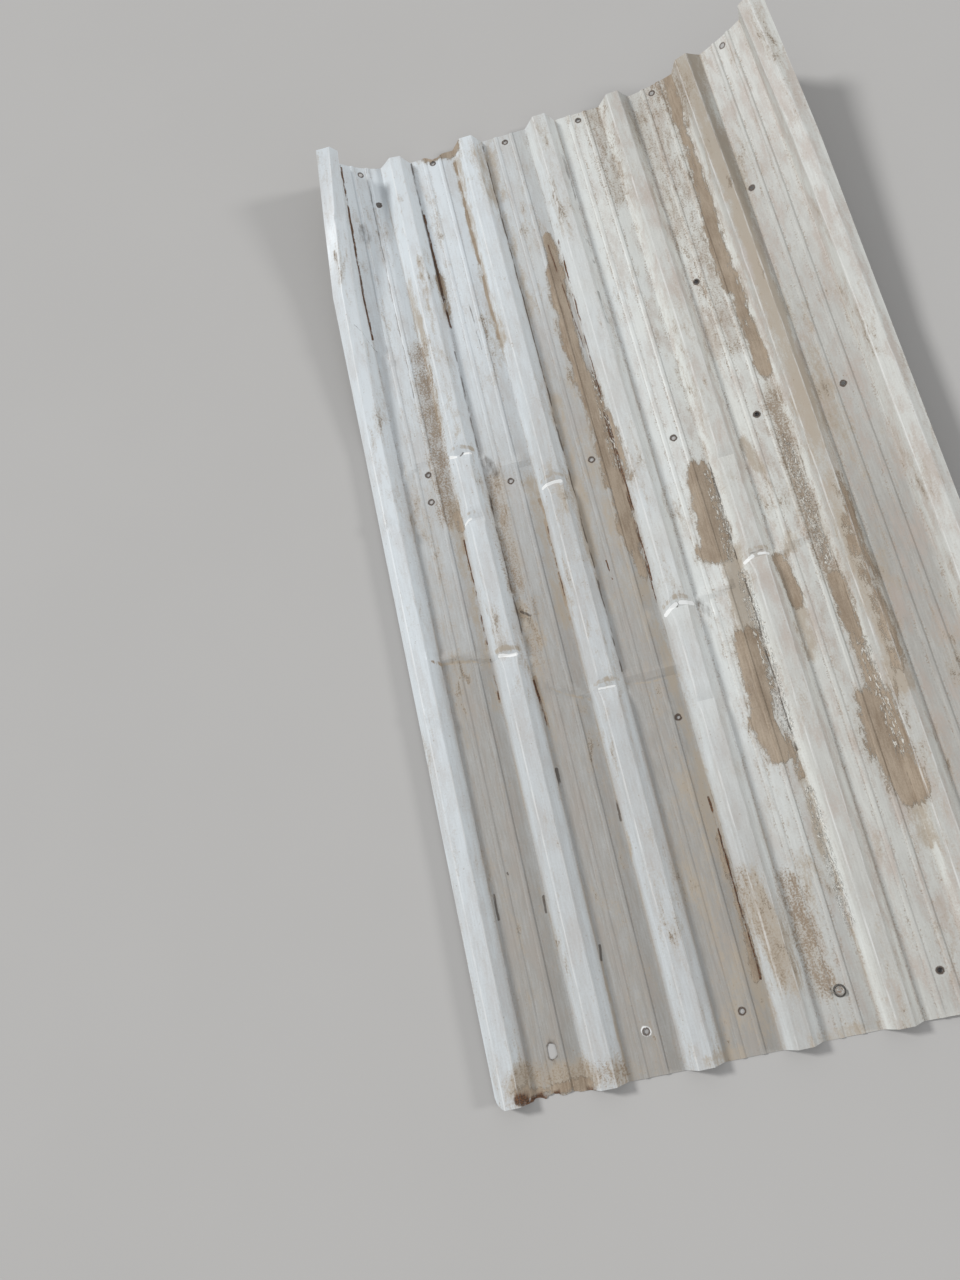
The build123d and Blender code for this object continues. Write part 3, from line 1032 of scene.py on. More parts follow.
    @staticmethod
    def relief(build: NodeBuilder, on: Ground, thick_mud: Socket, crumb: Socket) -> Socket:
        """Raise the dirt a little, and ripple the paint finely.

        Args:
            build: The material's builder.
            on: What the layers share.
            thick_mud: The socket of the thick mud.
            crumb: The socket of the crumbs.

        Returns:
            The socket of the bumped normal.
        """
        raised = build.times(thick_mud, build.plus(0.25, build.times(on.grain, 0.5)))
        raised = build.plus(raised, build.times(crumb, 0.9))
        raised = build.plus(raised, build.times(build.noise(on.flat, 0.05, 2.0), 0.25))
        raised = build.plus(raised, build.times(on.specks, 0.05))
        bump = build.node("ShaderNodeBump", {"Strength": 1.0, "Distance": MILLIMETRE, "Height": raised})
        return bump.outputs[0]

    def make(self, holes: Sequence[Point]) -> bpy.types.Material:
        """Make the material.

        Args:
            holes: Across and along of each screw hole, which gets a ring of painted shade.

        Returns:
            The material.
        """
        line_group("Thin Mark", "ShaderNodeTree")
        material, build, shader = start_material("weathered_paint", self.cool)
        on = self.ground(build)
        colour, film_and_shade = self.filmed_and_shaded_paint(build, on)

        half_pitch = self.rib_pitch / 2
        in_bay = build.math("FLOORED_MODULO", build.plus(on.across, half_pitch), self.rib_pitch)
        beside = build.apart(in_bay, half_pitch)
        colour = self.dust_in_bends(build, on, beside, colour)
        colour = self.specks_in_bends(build, on, beside, colour)
        colour = self.pink_blotches(build, on, colour)

        wobble = build.plus(build.swing(on.ragged, 1.7), build.swing(build.noise(on.drawn, 0.028, 2.0), 1.5))
        wobble = build.plus(wobble, build.swing(on.specks, 0.7))
        # Dust, with the painted shade lines beside the folds
        dust = build.ramp(build.plus(self.with_thin(build, on, on.dust, DUST_AND_SHADE), wobble), 0.25, 0.95)
        colour = build.blend(build.times(dust, self.dust_cover), colour, self.dust)
        colour = self.speckled(build, on, wobble, colour)
        colour, mud, thick_mud = self.muddy(build, on, wobble, colour)
        colour, rust = self.rusty(build, on, wobble, colour)
        colour = self.grimy_and_shaded(build, on, colour)
        colour = self.highlights_and_scuffs(build, on, beside, colour)
        colour = self.hole_shade_rims(build, on, holes, colour)
        colour, crumb = self.dots_and_crumbs(build, on, colour)

        dirty = build.math("MAXIMUM", build.math("MAXIMUM", mud, rust), build.times(film_and_shade, 0.7))
        dirty = build.math("MAXIMUM", dirty, build.math("MAXIMUM", dust, crumb))
        roughness = build.plus(self.paint_roughness, build.times(dirty, self.dirt_roughness - self.paint_roughness))
        normal = self.relief(build, on, thick_mud, crumb)

        build.feed(shader.inputs["Base Color"], colour)
        build.feed(shader.inputs["Roughness"], roughness)
        build.feed(shader.inputs["Normal"], normal)
        shader.inputs["Specular IOR Level"].default_value = self.gloss
        return material


@dataclass(frozen=True)
class BackCoat:
    """The thin grey coat of the sheet's underside, dusty from years over a room."""

    coat: Colour = (0.42, 0.42, 0.4)
    dust: Colour = (0.3, 0.26, 0.21)
    roughness: float = 0.6

    def make(self) -> bpy.types.Material:
        """Make the material.

        Returns:
            The material.
        """
        material, build, shader = start_material("back_coat", self.coat)
        place = build.node("ShaderNodeAttribute", attribute_name=PLACE).outputs["Vector"]
        across, along, height = build.parts(place)
        streaked = build.joined(across, build.math("MULTIPLY", along, 0.1), height)
        cover = build.ramp(build.noise(streaked, 60.0, 5.0, 0.6), 0.4, 0.75)
        build.feed(shader.inputs["Base Color"], build.blend(cover, self.coat, self.dust))
        build.feed(shader.inputs["Roughness"], build.math("ADD", self.roughness, build.math("MULTIPLY", cover, 0.25)))
        fine = build.node("ShaderNodeBump", {
            "Strength": 0.5, "Distance": 0.0002, "Height": build.noise(place, 700.0, 2.0)})
        build.feed(shader.inputs["Normal"], fine.outputs[0])
        shader.inputs["Specular IOR Level"].default_value = 0.3
        return material


@dataclass(frozen=True)
class CutEdge:
    """The sheet's cut edge: dull zinc and thin rust."""

    zinc: Colour = (0.42, 0.41, 0.39)
    rust: Colour = (0.2, 0.1, 0.05)

    def make(self) -> bpy.types.Material:
        """Make the material.

        Returns:
            The material.
        """
        material, build, shader = start_material("cut_edge", self.zinc)
        place = build.node("ShaderNodeAttribute", attribute_name=PLACE).outputs["Vector"]
        rusted = build.ramp(build.noise(place, 90.0, 5.0, 0.65), 0.5, 0.68)
        build.feed(shader.inputs["Base Color"], build.blend(rusted, self.zinc, self.rust))
        build.feed(shader.inputs["Roughness"], build.math("ADD", 0.5, build.math("MULTIPLY", rusted, 0.35)))
        return material


@dataclass(frozen=True)
class DustyRubber:
    """Old black rubber with pale dust in its pores."""

    rubber: Colour = (0.045, 0.043, 0.04)
    dust: Colour = (0.3, 0.28, 0.25)

    def make(self) -> bpy.types.Material:
        """Make the material.

        Returns:
            The material.
        """
        material, build, shader = start_material("dusty_rubber", self.rubber)
        place = build.node("ShaderNodeTexCoord").outputs["Object"]
        dusty = build.ramp(build.noise(place, 900.0, 4.0, 0.7), 0.42, 0.74)
        build.feed(shader.inputs["Base Color"], build.blend(build.math("MULTIPLY", dusty, 0.8), self.rubber, self.dust))
        bump = build.node("ShaderNodeBump", {
            "Strength": 0.6, "Distance": 0.0002, "Height": build.noise(place, 1500.0, 3.0)})
        build.feed(shader.inputs["Normal"], bump.outputs[0])
        shader.inputs["Roughness"].default_value = 0.85
        return material


@dataclass(frozen=True)
class DullZinc:
    """The old screw's dull zinc, with rust in places."""

    zinc: Colour = (0.5, 0.49, 0.46)
    rust: Colour = (0.2, 0.11, 0.06)

    def make(self) -> bpy.types.Material:
        """Make the material.

        Returns:
            The material.
        """
        material, build, shader = start_material("dull_zinc", self.zinc)
        place = build.node("ShaderNodeTexCoord").outputs["Object"]
        rusted = build.ramp(build.noise(place, 420.0, 5.0, 0.65), 0.48, 0.66)
        build.feed(shader.inputs["Base Color"], build.blend(rusted, self.zinc, self.rust))
        build.feed(shader.inputs["Metallic"], build.math("SUBTRACT", 0.8, build.math("MULTIPLY", rusted, 0.8)))
        build.feed(shader.inputs["Roughness"], build.math("ADD", 0.42, build.math("MULTIPLY", rusted, 0.4)))
        bump = build.node("ShaderNodeBump", {
            "Strength": 0.5, "Distance": 0.0001, "Height": build.noise(place, 1800.0, 3.0)})
        build.feed(shader.inputs["Normal"], bump.outputs[0])
        return material


# The pieces


@dataclass
class RolledSheet:
    """The roofing sheet: one rolled strip of painted steel. Sizes are in millimetres."""

    rib_count: int = 7
    rib_pitch: float = 115.0
    rib_height: float = 20.0
    crest_width: float = 18.0
    base_width: float = 46.0
    steel_thickness: float = 0.5
    bend_radius: float = 2.0
    edge_leg_height: float = 17.0
    stiffener_spacing: float = 24.0
    stiffener_base: float = 7.0
    stiffener_top: float = 3.0
    stiffener_height: float = 1.4
    stiffener_bend_radius: float = 0.6
    length: float = 1340.0
    last_rib_bent_left: int = 2
    first_rib_bent_right: int = 5
    middle_shift: float = 4.837
    curls: tuple[Curl, ...] = (Curl(880, 0, 640), Curl(1120, 420, 440), Curl(1340, 150, 300))
    buckles: tuple[Buckle, ...] = (
        Buckle(2, 832, 20, 6.5, 2.0), Buckle(2, 731, 18, 5.0, 1.8), Buckle(2, 534, 18, 6.0, 2.0),
        Buckle(3, 753, 18, 6.5, 2.0), Buckle(3, 460, 22, 7.0, 2.2), Buckle(4, 543, 22, 7.5, 2.4),
        Buckle(4, 416, 16, 3.5, 1.2), Buckle(5, 582, 24, 7.0, 2.4), Buckle(5, 728, 16, 4.0, 1.4),
        Buckle(1, 1230, 14, 2.2, 0.8),
    )
    creases: tuple[Crease, ...] = (
        Crease(((-330, 556), (-292, 552), (-253, 541)), 6.0, 3.0),
        Crease(((-207, 508), (-180, 482), (-138, 462)), 6.5, 3.2),
        Crease(((-207, 560), (-190, 584), (-176, 620)), 6.5, 2.2),
        Crease(((-92, 474), (-60, 468), (-23, 470)), 6.5, 2.6),
        Crease(((23, 548), (48, 556), (70, 560)), 6.5, 2.8),
        Crease(((138, 585), (160, 592), (190, 600)), 6.5, 2.6),
        Crease(((-322, 824), (-300, 840), (-272, 846)), 6.5, 2.0),
        Crease(((-200, 815), (-180, 800), (-150, 806)), 7.0, 2.8),
        Crease(((30, 540), (46, 520), (60, 512)), 6.0, 2.0),
        Crease(((-354, 760), (-335, 742)), 6.0, 2.6),
        Crease(((-354, 1060), (-318, 1027), (-300, 1010)), 6.0, 2.6),
        Crease(((-350, 480), (-336, 470)), 6.0, 2.2),
    )
    hole_rows: tuple[float, ...] = (50.0, 780.0, 1327.0)
    hole_diameter: float = 6.0
    hole_wander: float = 0.12
    hole_cut: Point = (-6.0, 6.0)
    punctures: tuple[RoundHole, ...] = (
        RoundHole(1, 4, 821, 5.0), RoundHole(1, 19, 1273, 5.0), RoundHole(3, 20, 405, 4.5),
        RoundHole(5, -22, 1002, 6.0), RoundHole(6, -27, 1105, 4.5),
    )
    torn_hole: Point = (10.5, 18.0)
    torn_wander: float = 0.7
    lower_bites: tuple[Bite, ...] = (Bite(1, -27, 9, 2.4), Bite(1, -8, 14, 3.2), Bite(1, 15, 11, 2.0))
    upper_bite: Bite = Bite(2, 6, 15, 6.0)
    upper_bite_wander: float = 1.1
    worn_corner_radius: float = 14.0
    worn_start: float = 10.0
    worn_end: float = 46.0
    worn_wander: float = 1.6
    worn_step: float = 2.0
    end_cut: Point = (-20.0, 60.0)
    widest_column: float = 8.5
    widest_row: float = 9.5
    least_row_gap: float = 1.6
    fold_rows: tuple[float, ...] = (-1, -0.5, -0.12, 0, 0.12, 0.5, 1)
    fold_spare: float = 1.0
    waviness: float = 0.9
    wave_size: float = 95.0
    wave_stretch: float = 0.45
    wave_step: float = 90.0
    sharp_angle: float = 11.0
    seed: int = 7

    def rib_centre(self, rib: int) -> float:
        """Across of a rib's middle, with rib 1 at the left edge."""
        return (rib - (self.rib_count + 1) / 2) * self.rib_pitch

    def pan_centre(self, pan: int) -> float:
        """Across of the middle of the pan between a rib and the next."""
        return self.rib_centre(pan) + self.rib_pitch / 2

    @property
    def left_bend_start(self) -> float:
        """Across of where the left side starts to bend up."""
        return self.rib_centre(self.last_rib_bent_left) + self.base_width / 2

    @property
    def right_bend_start(self) -> float:
        """Across of where the right side starts to bend up."""
        return self.rib_centre(self.first_rib_bent_right) - self.base_width / 2

    def corners(self) -> list[tuple[float, float, float]]:
        """Across, height and bend radius of each corner of the underside, from left to right.

        Returns:
            The corners, in millimetres.
        """
        half_crest, half_base, up = self.crest_width / 2, self.base_width / 2, self.rib_height
        leg = half_crest + (half_base - half_crest) * self.edge_leg_height / up
        made = []
        for rib in range(1, self.rib_count + 1):
            centre = self.rib_centre(rib)
            left = (-leg, up - self.edge_leg_height) if rib == 1 else (-half_base, 0.0)
            right = (leg, up - self.edge_leg_height) if rib == self.rib_count else (half_base, 0.0)
            for beside, height in (left, (-half_crest, up), (half_crest, up), right):
                made.append((centre + beside, height, self.bend_radius))
            if rib == self.rib_count:
                break
            for side in (-1, 1):
                middle = self.pan_centre(rib) + side * self.stiffener_spacing / 2
                base, top = self.stiffener_base / 2, self.stiffener_top / 2
                lift = self.stiffener_height
                for beside, height in ((-base, 0.0), (-top, lift), (top, lift), (base, 0.0)):
                    made.append((middle + beside, height, self.stiffener_bend_radius))
        return made

    def section(self) -> list[Point]:
        """Across and height of each point of the rounded underside, no wider apart than a column may be.

        Returns:
            The points, from left to right.
        """
        corners = self.corners()
        rounded = [corners[0][:2]]
        for before, corner, after in zip(corners, corners[1:], corners[2:]):
            at = Vector(corner[:2])
            back, on = (Vector(before[:2]) - at).normalized(), (Vector(after[:2]) - at).normalized()
            turn = math.pi - back.angle(on)
            reach = corner[2] * math.tan(turn / 2)
            first, last = at + back * reach, at + on * reach
            steps = 2 if corner[2] > self.stiffener_bend_radius else 1
            for step in range(steps + 1):
                share = step / steps
                bow = at * (2 * share * (1 - share)) + first * (1 - share) ** 2 + last * share ** 2
                rounded.append(tuple(bow))
        rounded.append(corners[-1][:2])
        filled = [rounded[0]]
        for start, end in zip(rounded, rounded[1:]):
            count = max(1, math.ceil(math.dist(start, end) / self.widest_column))
            filled += [
                (start[0] + (end[0] - start[0]) * n / count, start[1] + (end[1] - start[1]) * n / count)
                for n in range(1, count + 1)
            ]
        return filled

    def stations(self) -> list[float]:
        """Along of each row, closer together at the folds.

        Returns:
            The rows, from the lower end.
        """
        kept = {0.0, self.length} | {curl.along for curl in self.curls}
        for fold in self.buckles:
            for share in self.fold_rows:
                kept.add(fold.along + share * fold.reach)
        rows = [0.0]
        for row in sorted(kept):
            if row - rows[-1] < self.least_row_gap:
                continue
            count = math.ceil((row - rows[-1]) / self.widest_row)
            rows += [rows[-1] + (row - rows[-1]) * n / count for n in range(1, count + 1)]
        rows[-1] = self.length
        return rows

    def bent(self, across: float, height: float, curl: Curl) -> Point:
        """X and Z of a place once the sides are bent up, at one of the curls.

        Args:
            across: Place across the sheet.
            height: Height over the flat underside.
            curl: The curl whose radii are used.

        Returns:
            X and Z, in millimetres.
        """
        for side, start, radius in (
            (1, self.right_bend_start, curl.right_radius), (-1, self.left_bend_start, curl.left_radius)
        ):
            beyond = side * (across - start)
            if radius and beyond > 0:
                turn = beyond / radius
                return (
                    start + side * (radius - height) * math.sin(turn),
                    radius - (radius - height) * math.cos(turn),
                )
        return across, height

    def spot(self, across: float, along: float) -> Matrix:
        """The place on the underside, in metres, with its Z square to the steel.

        Args:
            across: Place across the sheet.
            along: Place along the sheet.

        Returns:
            The matrix of that place.
        """
        after = next((c for c in self.curls[1:] if along < c.along), self.curls[-1])
        before = self.curls[self.curls.index(after) - 1]
        share = max(0.0, (along - before.along) / (after.along - before.along))
        half_flat = (self.stiffener_spacing - self.stiffener_base) / 2
        left, right = (
            Vector(self.bent(across + beside, 0.0, before)).lerp(Vector(self.bent(across + beside, 0.0, after)), share)
            for beside in (-half_flat, half_flat)
        )
        middle = (left + right) / 2
        lean = math.atan2(right.y - left.y, right.x - left.x)
        where = Vector((middle.x + self.middle_shift, along - self.length / 2, middle.y)) * MILLIMETRE
        return Matrix.Translation(where) @ Matrix.Rotation(-lean, 4, "Y")

    @staticmethod
    def fold_group() -> bpy.types.NodeTree:
        """The group that presses a rib's crest down and spreads its flanks at a fold.

        Returns:
            The group's tree.
        """
        names = ("Across", "Along", "Height", "Rib Centre", "Fold Along", "Reach", "Sink", "Spread",
                 "Half Crest", "Half Base", "Rib Height")
        build, given, result = new_group(
            "Fold Across A Rib", "GeometryNodeTree", dict.fromkeys(names, "Float"),
            {"Across": "Float", "Height": "Float"},
        )
        value = {name: given.outputs[name] for name in names}
        away = build.math("ABSOLUTE", build.math("SUBTRACT", value["Along"], value["Fold Along"]))
        depth = build.math("POWER", build.math(
            "SUBTRACT", 1.0, build.math("DIVIDE", away, value["Reach"]), clamp=True), FOLD_STEEPNESS)
        beside = build.math("SUBTRACT", value["Across"], value["Rib Centre"])
        on_rib = build.math("LESS_THAN", build.math("ABSOLUTE", beside), value["Half Base"])
        share = build.math("MULTIPLY", build.math("DIVIDE", value["Height"], value["Rib Height"]), build.math(
            "MULTIPLY", depth, on_rib))
        way = build.math("MAXIMUM", -1.0, build.math("MINIMUM", 1.0, build.math("DIVIDE", beside, value["Half Crest"])))
        shift = build.math("MULTIPLY", build.math("MULTIPLY", share, value["Spread"]), way)
        build.feed(result.inputs["Across"], build.math("ADD", value["Across"], shift))
        build.feed(result.inputs["Height"], build.math("SUBTRACT", value["Height"], build.math(
            "MULTIPLY", share, value["Sink"])))
        return build.tree

    @staticmethod
    def bend_group() -> bpy.types.NodeTree:
        """The group that bends what lies beyond a line up to a radius.

        Returns:
            The group's tree.
        """
        names = ("Across", "Height", "Side", "Bend Start", "Radius")
        build, given, result = new_group(
            "Bend A Side Up", "GeometryNodeTree", dict.fromkeys(names, "Float"),
            {"Across": "Float", "Height": "Float"},
        )
        across, height, side, start, radius = (given.outputs[name] for name in names)
        beyond = build.math("MAXIMUM", 0.0, build.math("MULTIPLY", side, build.math("SUBTRACT", across, start)))
        turn = build.math("DIVIDE", beyond, radius)
        arm = build.math("SUBTRACT", radius, height)
        out = build.math("SUBTRACT", build.math("MULTIPLY", arm, build.math("SINE", turn)), beyond)
        build.feed(result.inputs["Across"], build.math("ADD", across, build.math("MULTIPLY", side, out)))
        build.feed(result.inputs["Height"], build.math("SUBTRACT", radius, build.math(
            "MULTIPLY", arm, build.math("COSINE", turn))))
        return build.tree

    def rolling_tree(self) -> tuple[bpy.types.NodeTree, dict[str, object]]:
        """The tree that rolls, folds and curls the sheet.

        Returns:
            The tree, and the value of each of its named inputs.
        """
        inputs = {"Section": "Object", "Rows": "Object", "Rib Height": "Float", "Half Crest": "Float",
                  "Half Base": "Float", "Length": "Float", "Left Bend Start": "Float", "Right Bend Start": "Float",
                  "Middle Shift": "Float", "Waviness": "Float", "Wave Size": "Float", "Seed": "Float",
                  "Coat": "Material"}
        values = {"Rib Height": self.rib_height, "Half Crest": self.crest_width / 2,
                  "Half Base": self.base_width / 2 + self.fold_spare, "Length": self.length,
                  "Left Bend Start": self.left_bend_start, "Right Bend Start": self.right_bend_start,
                  "Middle Shift": self.middle_shift, "Waviness": self.waviness, "Wave Size": self.wave_size,
                  "Seed": float(self.seed)}
        for number, curl in enumerate(self.curls, 1):
            sizes = {"Along": curl.along, "Left Radius": curl.left_radius, "Right Radius": curl.right_radius}
            for name, value in sizes.items():
                inputs[f"Curl {number} {name}"] = "Float"
                values[f"Curl {number} {name}"] = float(value)
        build, given, result = new_group("Rolled Sheet", "GeometryNodeTree", inputs, {"Geometry": "Geometry"})
        value = {name: given.outputs[name] for name in inputs}

        # A grid whose columns take their places from the section and its rows from the stations
        section, rows = (
            build.node("GeometryNodeObjectInfo", {"Object": value[name]}).outputs["Geometry"]
            for name in ("Section", "Rows")
        )
        columns, lines = (
            build.node("GeometryNodeAttributeDomainSize", {"Geometry": shape}).outputs["Point Count"]
            for shape in (section, rows)
        )
        grid = build.node("GeometryNodeMeshGrid", {
            "Size X": 1.0, "Size Y": 1.0, "Vertices X": columns, "Vertices Y": lines}).outputs["Mesh"]
        index = build.node("GeometryNodeInputIndex").outputs[0]
        column = build.math("FLOOR", build.math("DIVIDE", build.math("ADD", index, 0.5), lines))
        line = build.math("SUBTRACT", index, build.math("MULTIPLY", column, lines))
        spot = build.node("GeometryNodeInputPosition").outputs[0]
        across, _, height = build.parts(self.sampled(build, section, spot, column))
        _, along, _ = build.parts(self.sampled(build, rows, spot, line))
        place = build.scaled(build.joined(across, along, height), MILLIMETRE)

        for fold in self.buckles:
            pressed = build.node("GeometryNodeGroup", node_tree=bpy.data.node_groups["Fold Across A Rib"])
            sizes = {"Across": across, "Along": along, "Height": height, "Rib Centre": self.rib_centre(fold.rib),
                     "Fold Along": fold.along, "Reach": fold.reach, "Sink": fold.sink, "Spread": fold.spread,
                     "Half Crest": value["Half Crest"], "Half Base": value["Half Base"],
                     "Rib Height": value["Rib Height"]}
            for name, size in sizes.items():
                build.feed(pressed.inputs[name], size)
            across, height = pressed.outputs

        # Creases pressed up in the pans
        flat, lifted = build.joined(across, along, 0.0), 0.0
        for crease in self.creases:
            for start, end in zip(crease.line, crease.line[1:]):
                ridge = build.node("GeometryNodeGroup", node_tree=bpy.data.node_groups["Crease In A Pan"])
                for name, size in (("So Far", lifted), ("Place", flat), ("Start", (*start, 0.0)), ("End", (*end, 0.0)),
                                   ("Half Width", crease.half_width), ("Strength", crease.lift)):
                    build.feed(ridge.inputs[name], size)
                lifted = ridge.outputs[0]
        height = build.math("ADD", height, lifted)

        # The steel of the pans isn't quite flat
        stretched, layer = build.times(along, self.wave_stretch), build.times(value["Seed"], self.wave_step)
        lengthened = build.joined(across, stretched, layer)
        wave = build.node("ShaderNodeTexNoise", {
            "Vector": build.vector("DIVIDE", lengthened, build.joined(*[value["Wave Size"]] * 3)),
            "Scale": 1.0, "Detail": 2.0}).outputs[0]
        lift = build.math("MULTIPLY", build.ramp(wave, 0.35, 0.75), value["Waviness"])
        height = build.math("ADD", height, lift)

        bent = None
        for number, curl in enumerate(self.curls, 1):
            x, z = across, height
            for side, name in ((-1.0, "Left"), (1.0, "Right")):
                if not getattr(curl, f"{name.lower()}_radius"):
                    continue
                up = build.node("GeometryNodeGroup", node_tree=bpy.data.node_groups["Bend A Side Up"])
                for key, size in (("Across", x), ("Height", z), ("Side", side),
                                  ("Bend Start", value[f"{name} Bend Start"]),
                                  ("Radius", value[f"Curl {number} {name} Radius"])):
                    build.feed(up.inputs[key], size)
                x, z = up.outputs
            here = build.joined(x, along, z)
            if bent is None:
                bent = here
                continue
            share = build.node("ShaderNodeMapRange", {
                "Value": along, "From Min": value[f"Curl {number - 1} Along"],
                "From Max": value[f"Curl {number} Along"]})
            bent = build.vector("ADD", bent, build.scaled(build.vector("SUBTRACT", here, bent), share.outputs[0]))

        middle = build.joined(value["Middle Shift"], build.math("MULTIPLY", value["Length"], -0.5), 0.0)
        moved = build.node("GeometryNodeSetPosition", {
            "Geometry": grid, "Position": build.scaled(build.vector("ADD", bent, middle), MILLIMETRE)})
        kept = build.node("GeometryNodeStoreNamedAttribute", data_type="FLOAT_VECTOR", domain="POINT")
        build.feed(kept.inputs["Geometry"], moved.outputs[0])
        build.feed(kept.inputs["Name"], PLACE)
        build.feed(kept.inputs["Value"], place)
        whole = build.node("GeometryNodeRealizeInstances", {"Geometry": kept.outputs[0]})
        coated = build.node("GeometryNodeSetMaterial", {"Geometry": whole.outputs[0], "Material": value["Coat"]})
        build.feed(result.inputs[0], coated.outputs[0])
        return build.tree, values

    @staticmethod
    def sampled(build: NodeBuilder, shape: object, value: object, index: object) -> Socket:
        """The value at one point of another shape.

        Args:
            build: The tree's builder.
            shape: The socket of the other shape.
            value: The socket of the value there.
            index: The socket of the point's number.

        Returns:
            The value's socket.
        """
        node = build.node("GeometryNodeSampleIndex", data_type="FLOAT_VECTOR", domain="POINT")
        for name, socket in (("Geometry", shape), ("Value", value), ("Index", index)):
            build.feed(node.inputs[name], socket)
        return node.outputs[0]

    def underside(self, coat: bpy.types.Material) -> bpy.types.Mesh:
        """Roll the underside as one surface.

        Args:
            coat: The material that it gets.

        Returns:
            Its plain mesh, in the row frame.
        """
        self.fold_group()
        self.bend_group()
        line_group("Crease In A Pan", "GeometryNodeTree")
        tree, values = self.rolling_tree()
        section = mesh_from("section_points", [(across, 0.0, height) for across, height in self.section()], [])
        rows = mesh_from("row_points", [(0.0, along, 0.0) for along in self.stations()], [])
        values |= {"Section": section, "Rows": rows, "Coat": coat}
        sheet = mesh_from("rolled_surface", [], [])
        rolling = sheet.modifiers.new("Rolling", "NODES")
        rolling.node_group = tree
        for item in tree.interface.items_tree:
            if item.in_out == "INPUT":
                rolling[item.identifier] = values[item.name]
        mesh = evaluated_mesh(sheet)
        sheet.modifiers.remove(rolling)
        for helper in (sheet, section, rows):
            bpy.data.objects.remove(helper)
        return mesh

    def outline(self, middle: Point, half: Point, rough: float, count: int = 28) -> list[Point]:
        """A closed outline round a middle, with a ragged edge.

        Args:
            middle: Its middle.
            half: Its half width and half length.
            rough: How far the edge wanders.
            count: Its points.

        Returns:
            Its points in order.
        """
        random = np.random.default_rng(self.seed)
        wander = random.uniform(-rough, rough, count) if rough else np.zeros(count)
        waist = half[1] - half[0]
        points = []
        for number in range(count):
            turn = 2 * math.pi * (number + 0.5) / count
            reach = half[0] + wander[number]
            straight = math.copysign(waist, math.sin(turn))
            points.append((middle[0] + reach * math.cos(turn), middle[1] + straight + reach * math.sin(turn)))
        return points

    @staticmethod
    def prism(outline: Sequence[Point], place: Matrix, low: float, high: float) -> tuple[list, list]:
        """Points and faces of an outline drawn out to a prism.

        Args:
            outline: The outline's points, in order, in millimetres.
            place: Where the outline's plane lies.
            low: Its lower end.
            high: Its upper end.

        Returns:
            The points in metres, and the faces.
        """
        count = len(outline)
        points = [place @ (Vector((x, y, z)) * MILLIMETRE) for z in (low, high) for x, y in outline]
        faces = [tuple(reversed(range(count))), tuple(range(count, 2 * count))]
        faces += [(n, (n + 1) % count, (n + 1) % count + count, n + count) for n in range(count)]
        return points, faces

    def lower_end_line(self) -> list[Point]:
        """The worn left part of the lower end, as an outline of what is gone.

        Returns:
            Its points in order.
        """
        spare, untouched, outside = 0.2, -1.0, -30.0
        edge = self.corners()[0][0] - self.steel_thickness - spare
        radius, step = self.worn_corner_radius, self.worn_step
        random = np.random.default_rng(self.seed)
        outline = []
        for across in np.arange(edge - step, self.pan_centre(1) + self.worn_end, step):
            gone = untouched
            if across < edge + radius:
                gone = radius - math.sqrt(max(0.0, radius ** 2 - (edge + radius - across) ** 2))
            for bite in self.lower_bites:
                beside = across - self.pan_centre(bite.pan) - bite.beside_middle
                if abs(beside) < bite.radius:
                    gone = max(gone, bite.depth - bite.radius + math.sqrt(bite.radius ** 2 - beside ** 2))
            if across > self.rib_centre(1) + self.worn_start:
                gone += random.uniform(0.0, self.worn_wander)
            outline.append((across, gone))
        return [(outline[0][0], outside), *outline, (outline[-1][0], outside)][::-1]

    @staticmethod
    def cutter(name: str, prisms: Iterable[tuple[list, list]]) -> bpy.types.Object:
        """Join prisms to one shape that is cut away.

        Args:
            name: The shape's name.
            prisms: Points and faces of each prism.

        Returns:
            The shape's object.
        """
        points, faces = [], []
        for more_points, more_faces in prisms:
            faces += [tuple(n + len(points) for n in face) for face in more_faces]
            points += more_points
        return mesh_from(name, points, faces)

    def holes(self) -> list[RoundHole]:
        """Every round hole.

        Returns:
            The holes of the rows, then the stray ones.
        """
        rows = [
            RoundHole(pan, 0.0, along, self.hole_diameter)
            for along in self.hole_rows for pan in range(1, self.rib_count)
            if (pan, along) != (1, self.hole_rows[0])
        ]
        return rows + list(self.punctures)

    def hole_places(self) -> list[Point]:
        """Across and along of every round hole."""
        return [(self.pan_centre(hole.pan) + hole.beside_middle, hole.along) for hole in self.holes()]

    def cutters(self) -> list[bpy.types.Object]:
        """The shapes that are cut out of the sheet.

        Returns:
            Their objects.
        """
        round_ones = [
            self.prism(self.outline((0.0, 0.0), (hole.diameter / 2,) * 2, self.hole_wander),
                       self.spot(self.pan_centre(hole.pan) + hole.beside_middle, hole.along), *self.hole_cut)
            for hole in self.holes()
        ]
        torn_half = (self.torn_hole[0] / 2, self.torn_hole[1] / 2)
        torn = self.prism(self.outline((0.0, 0.0), torn_half, self.torn_wander),
                          self.spot(self.pan_centre(1), self.hole_rows[0]), *self.hole_cut)
        flat = Matrix.Translation(Vector((self.middle_shift, -self.length / 2, 0.0)) * MILLIMETRE)
        lower = self.prism(self.lower_end_line(), flat, *self.end_cut)
        bite = self.upper_bite
        middle = (self.pan_centre(bite.pan) + bite.beside_middle, self.length + bite.radius - bite.depth)
        upper_line = self.outline(middle, (bite.radius,) * 2, self.upper_bite_wander)
        upper = self.prism(upper_line, flat, *self.end_cut)
        return [self.cutter("holes", [*round_ones, torn]), self.cutter("worn_ends", [lower, upper])]

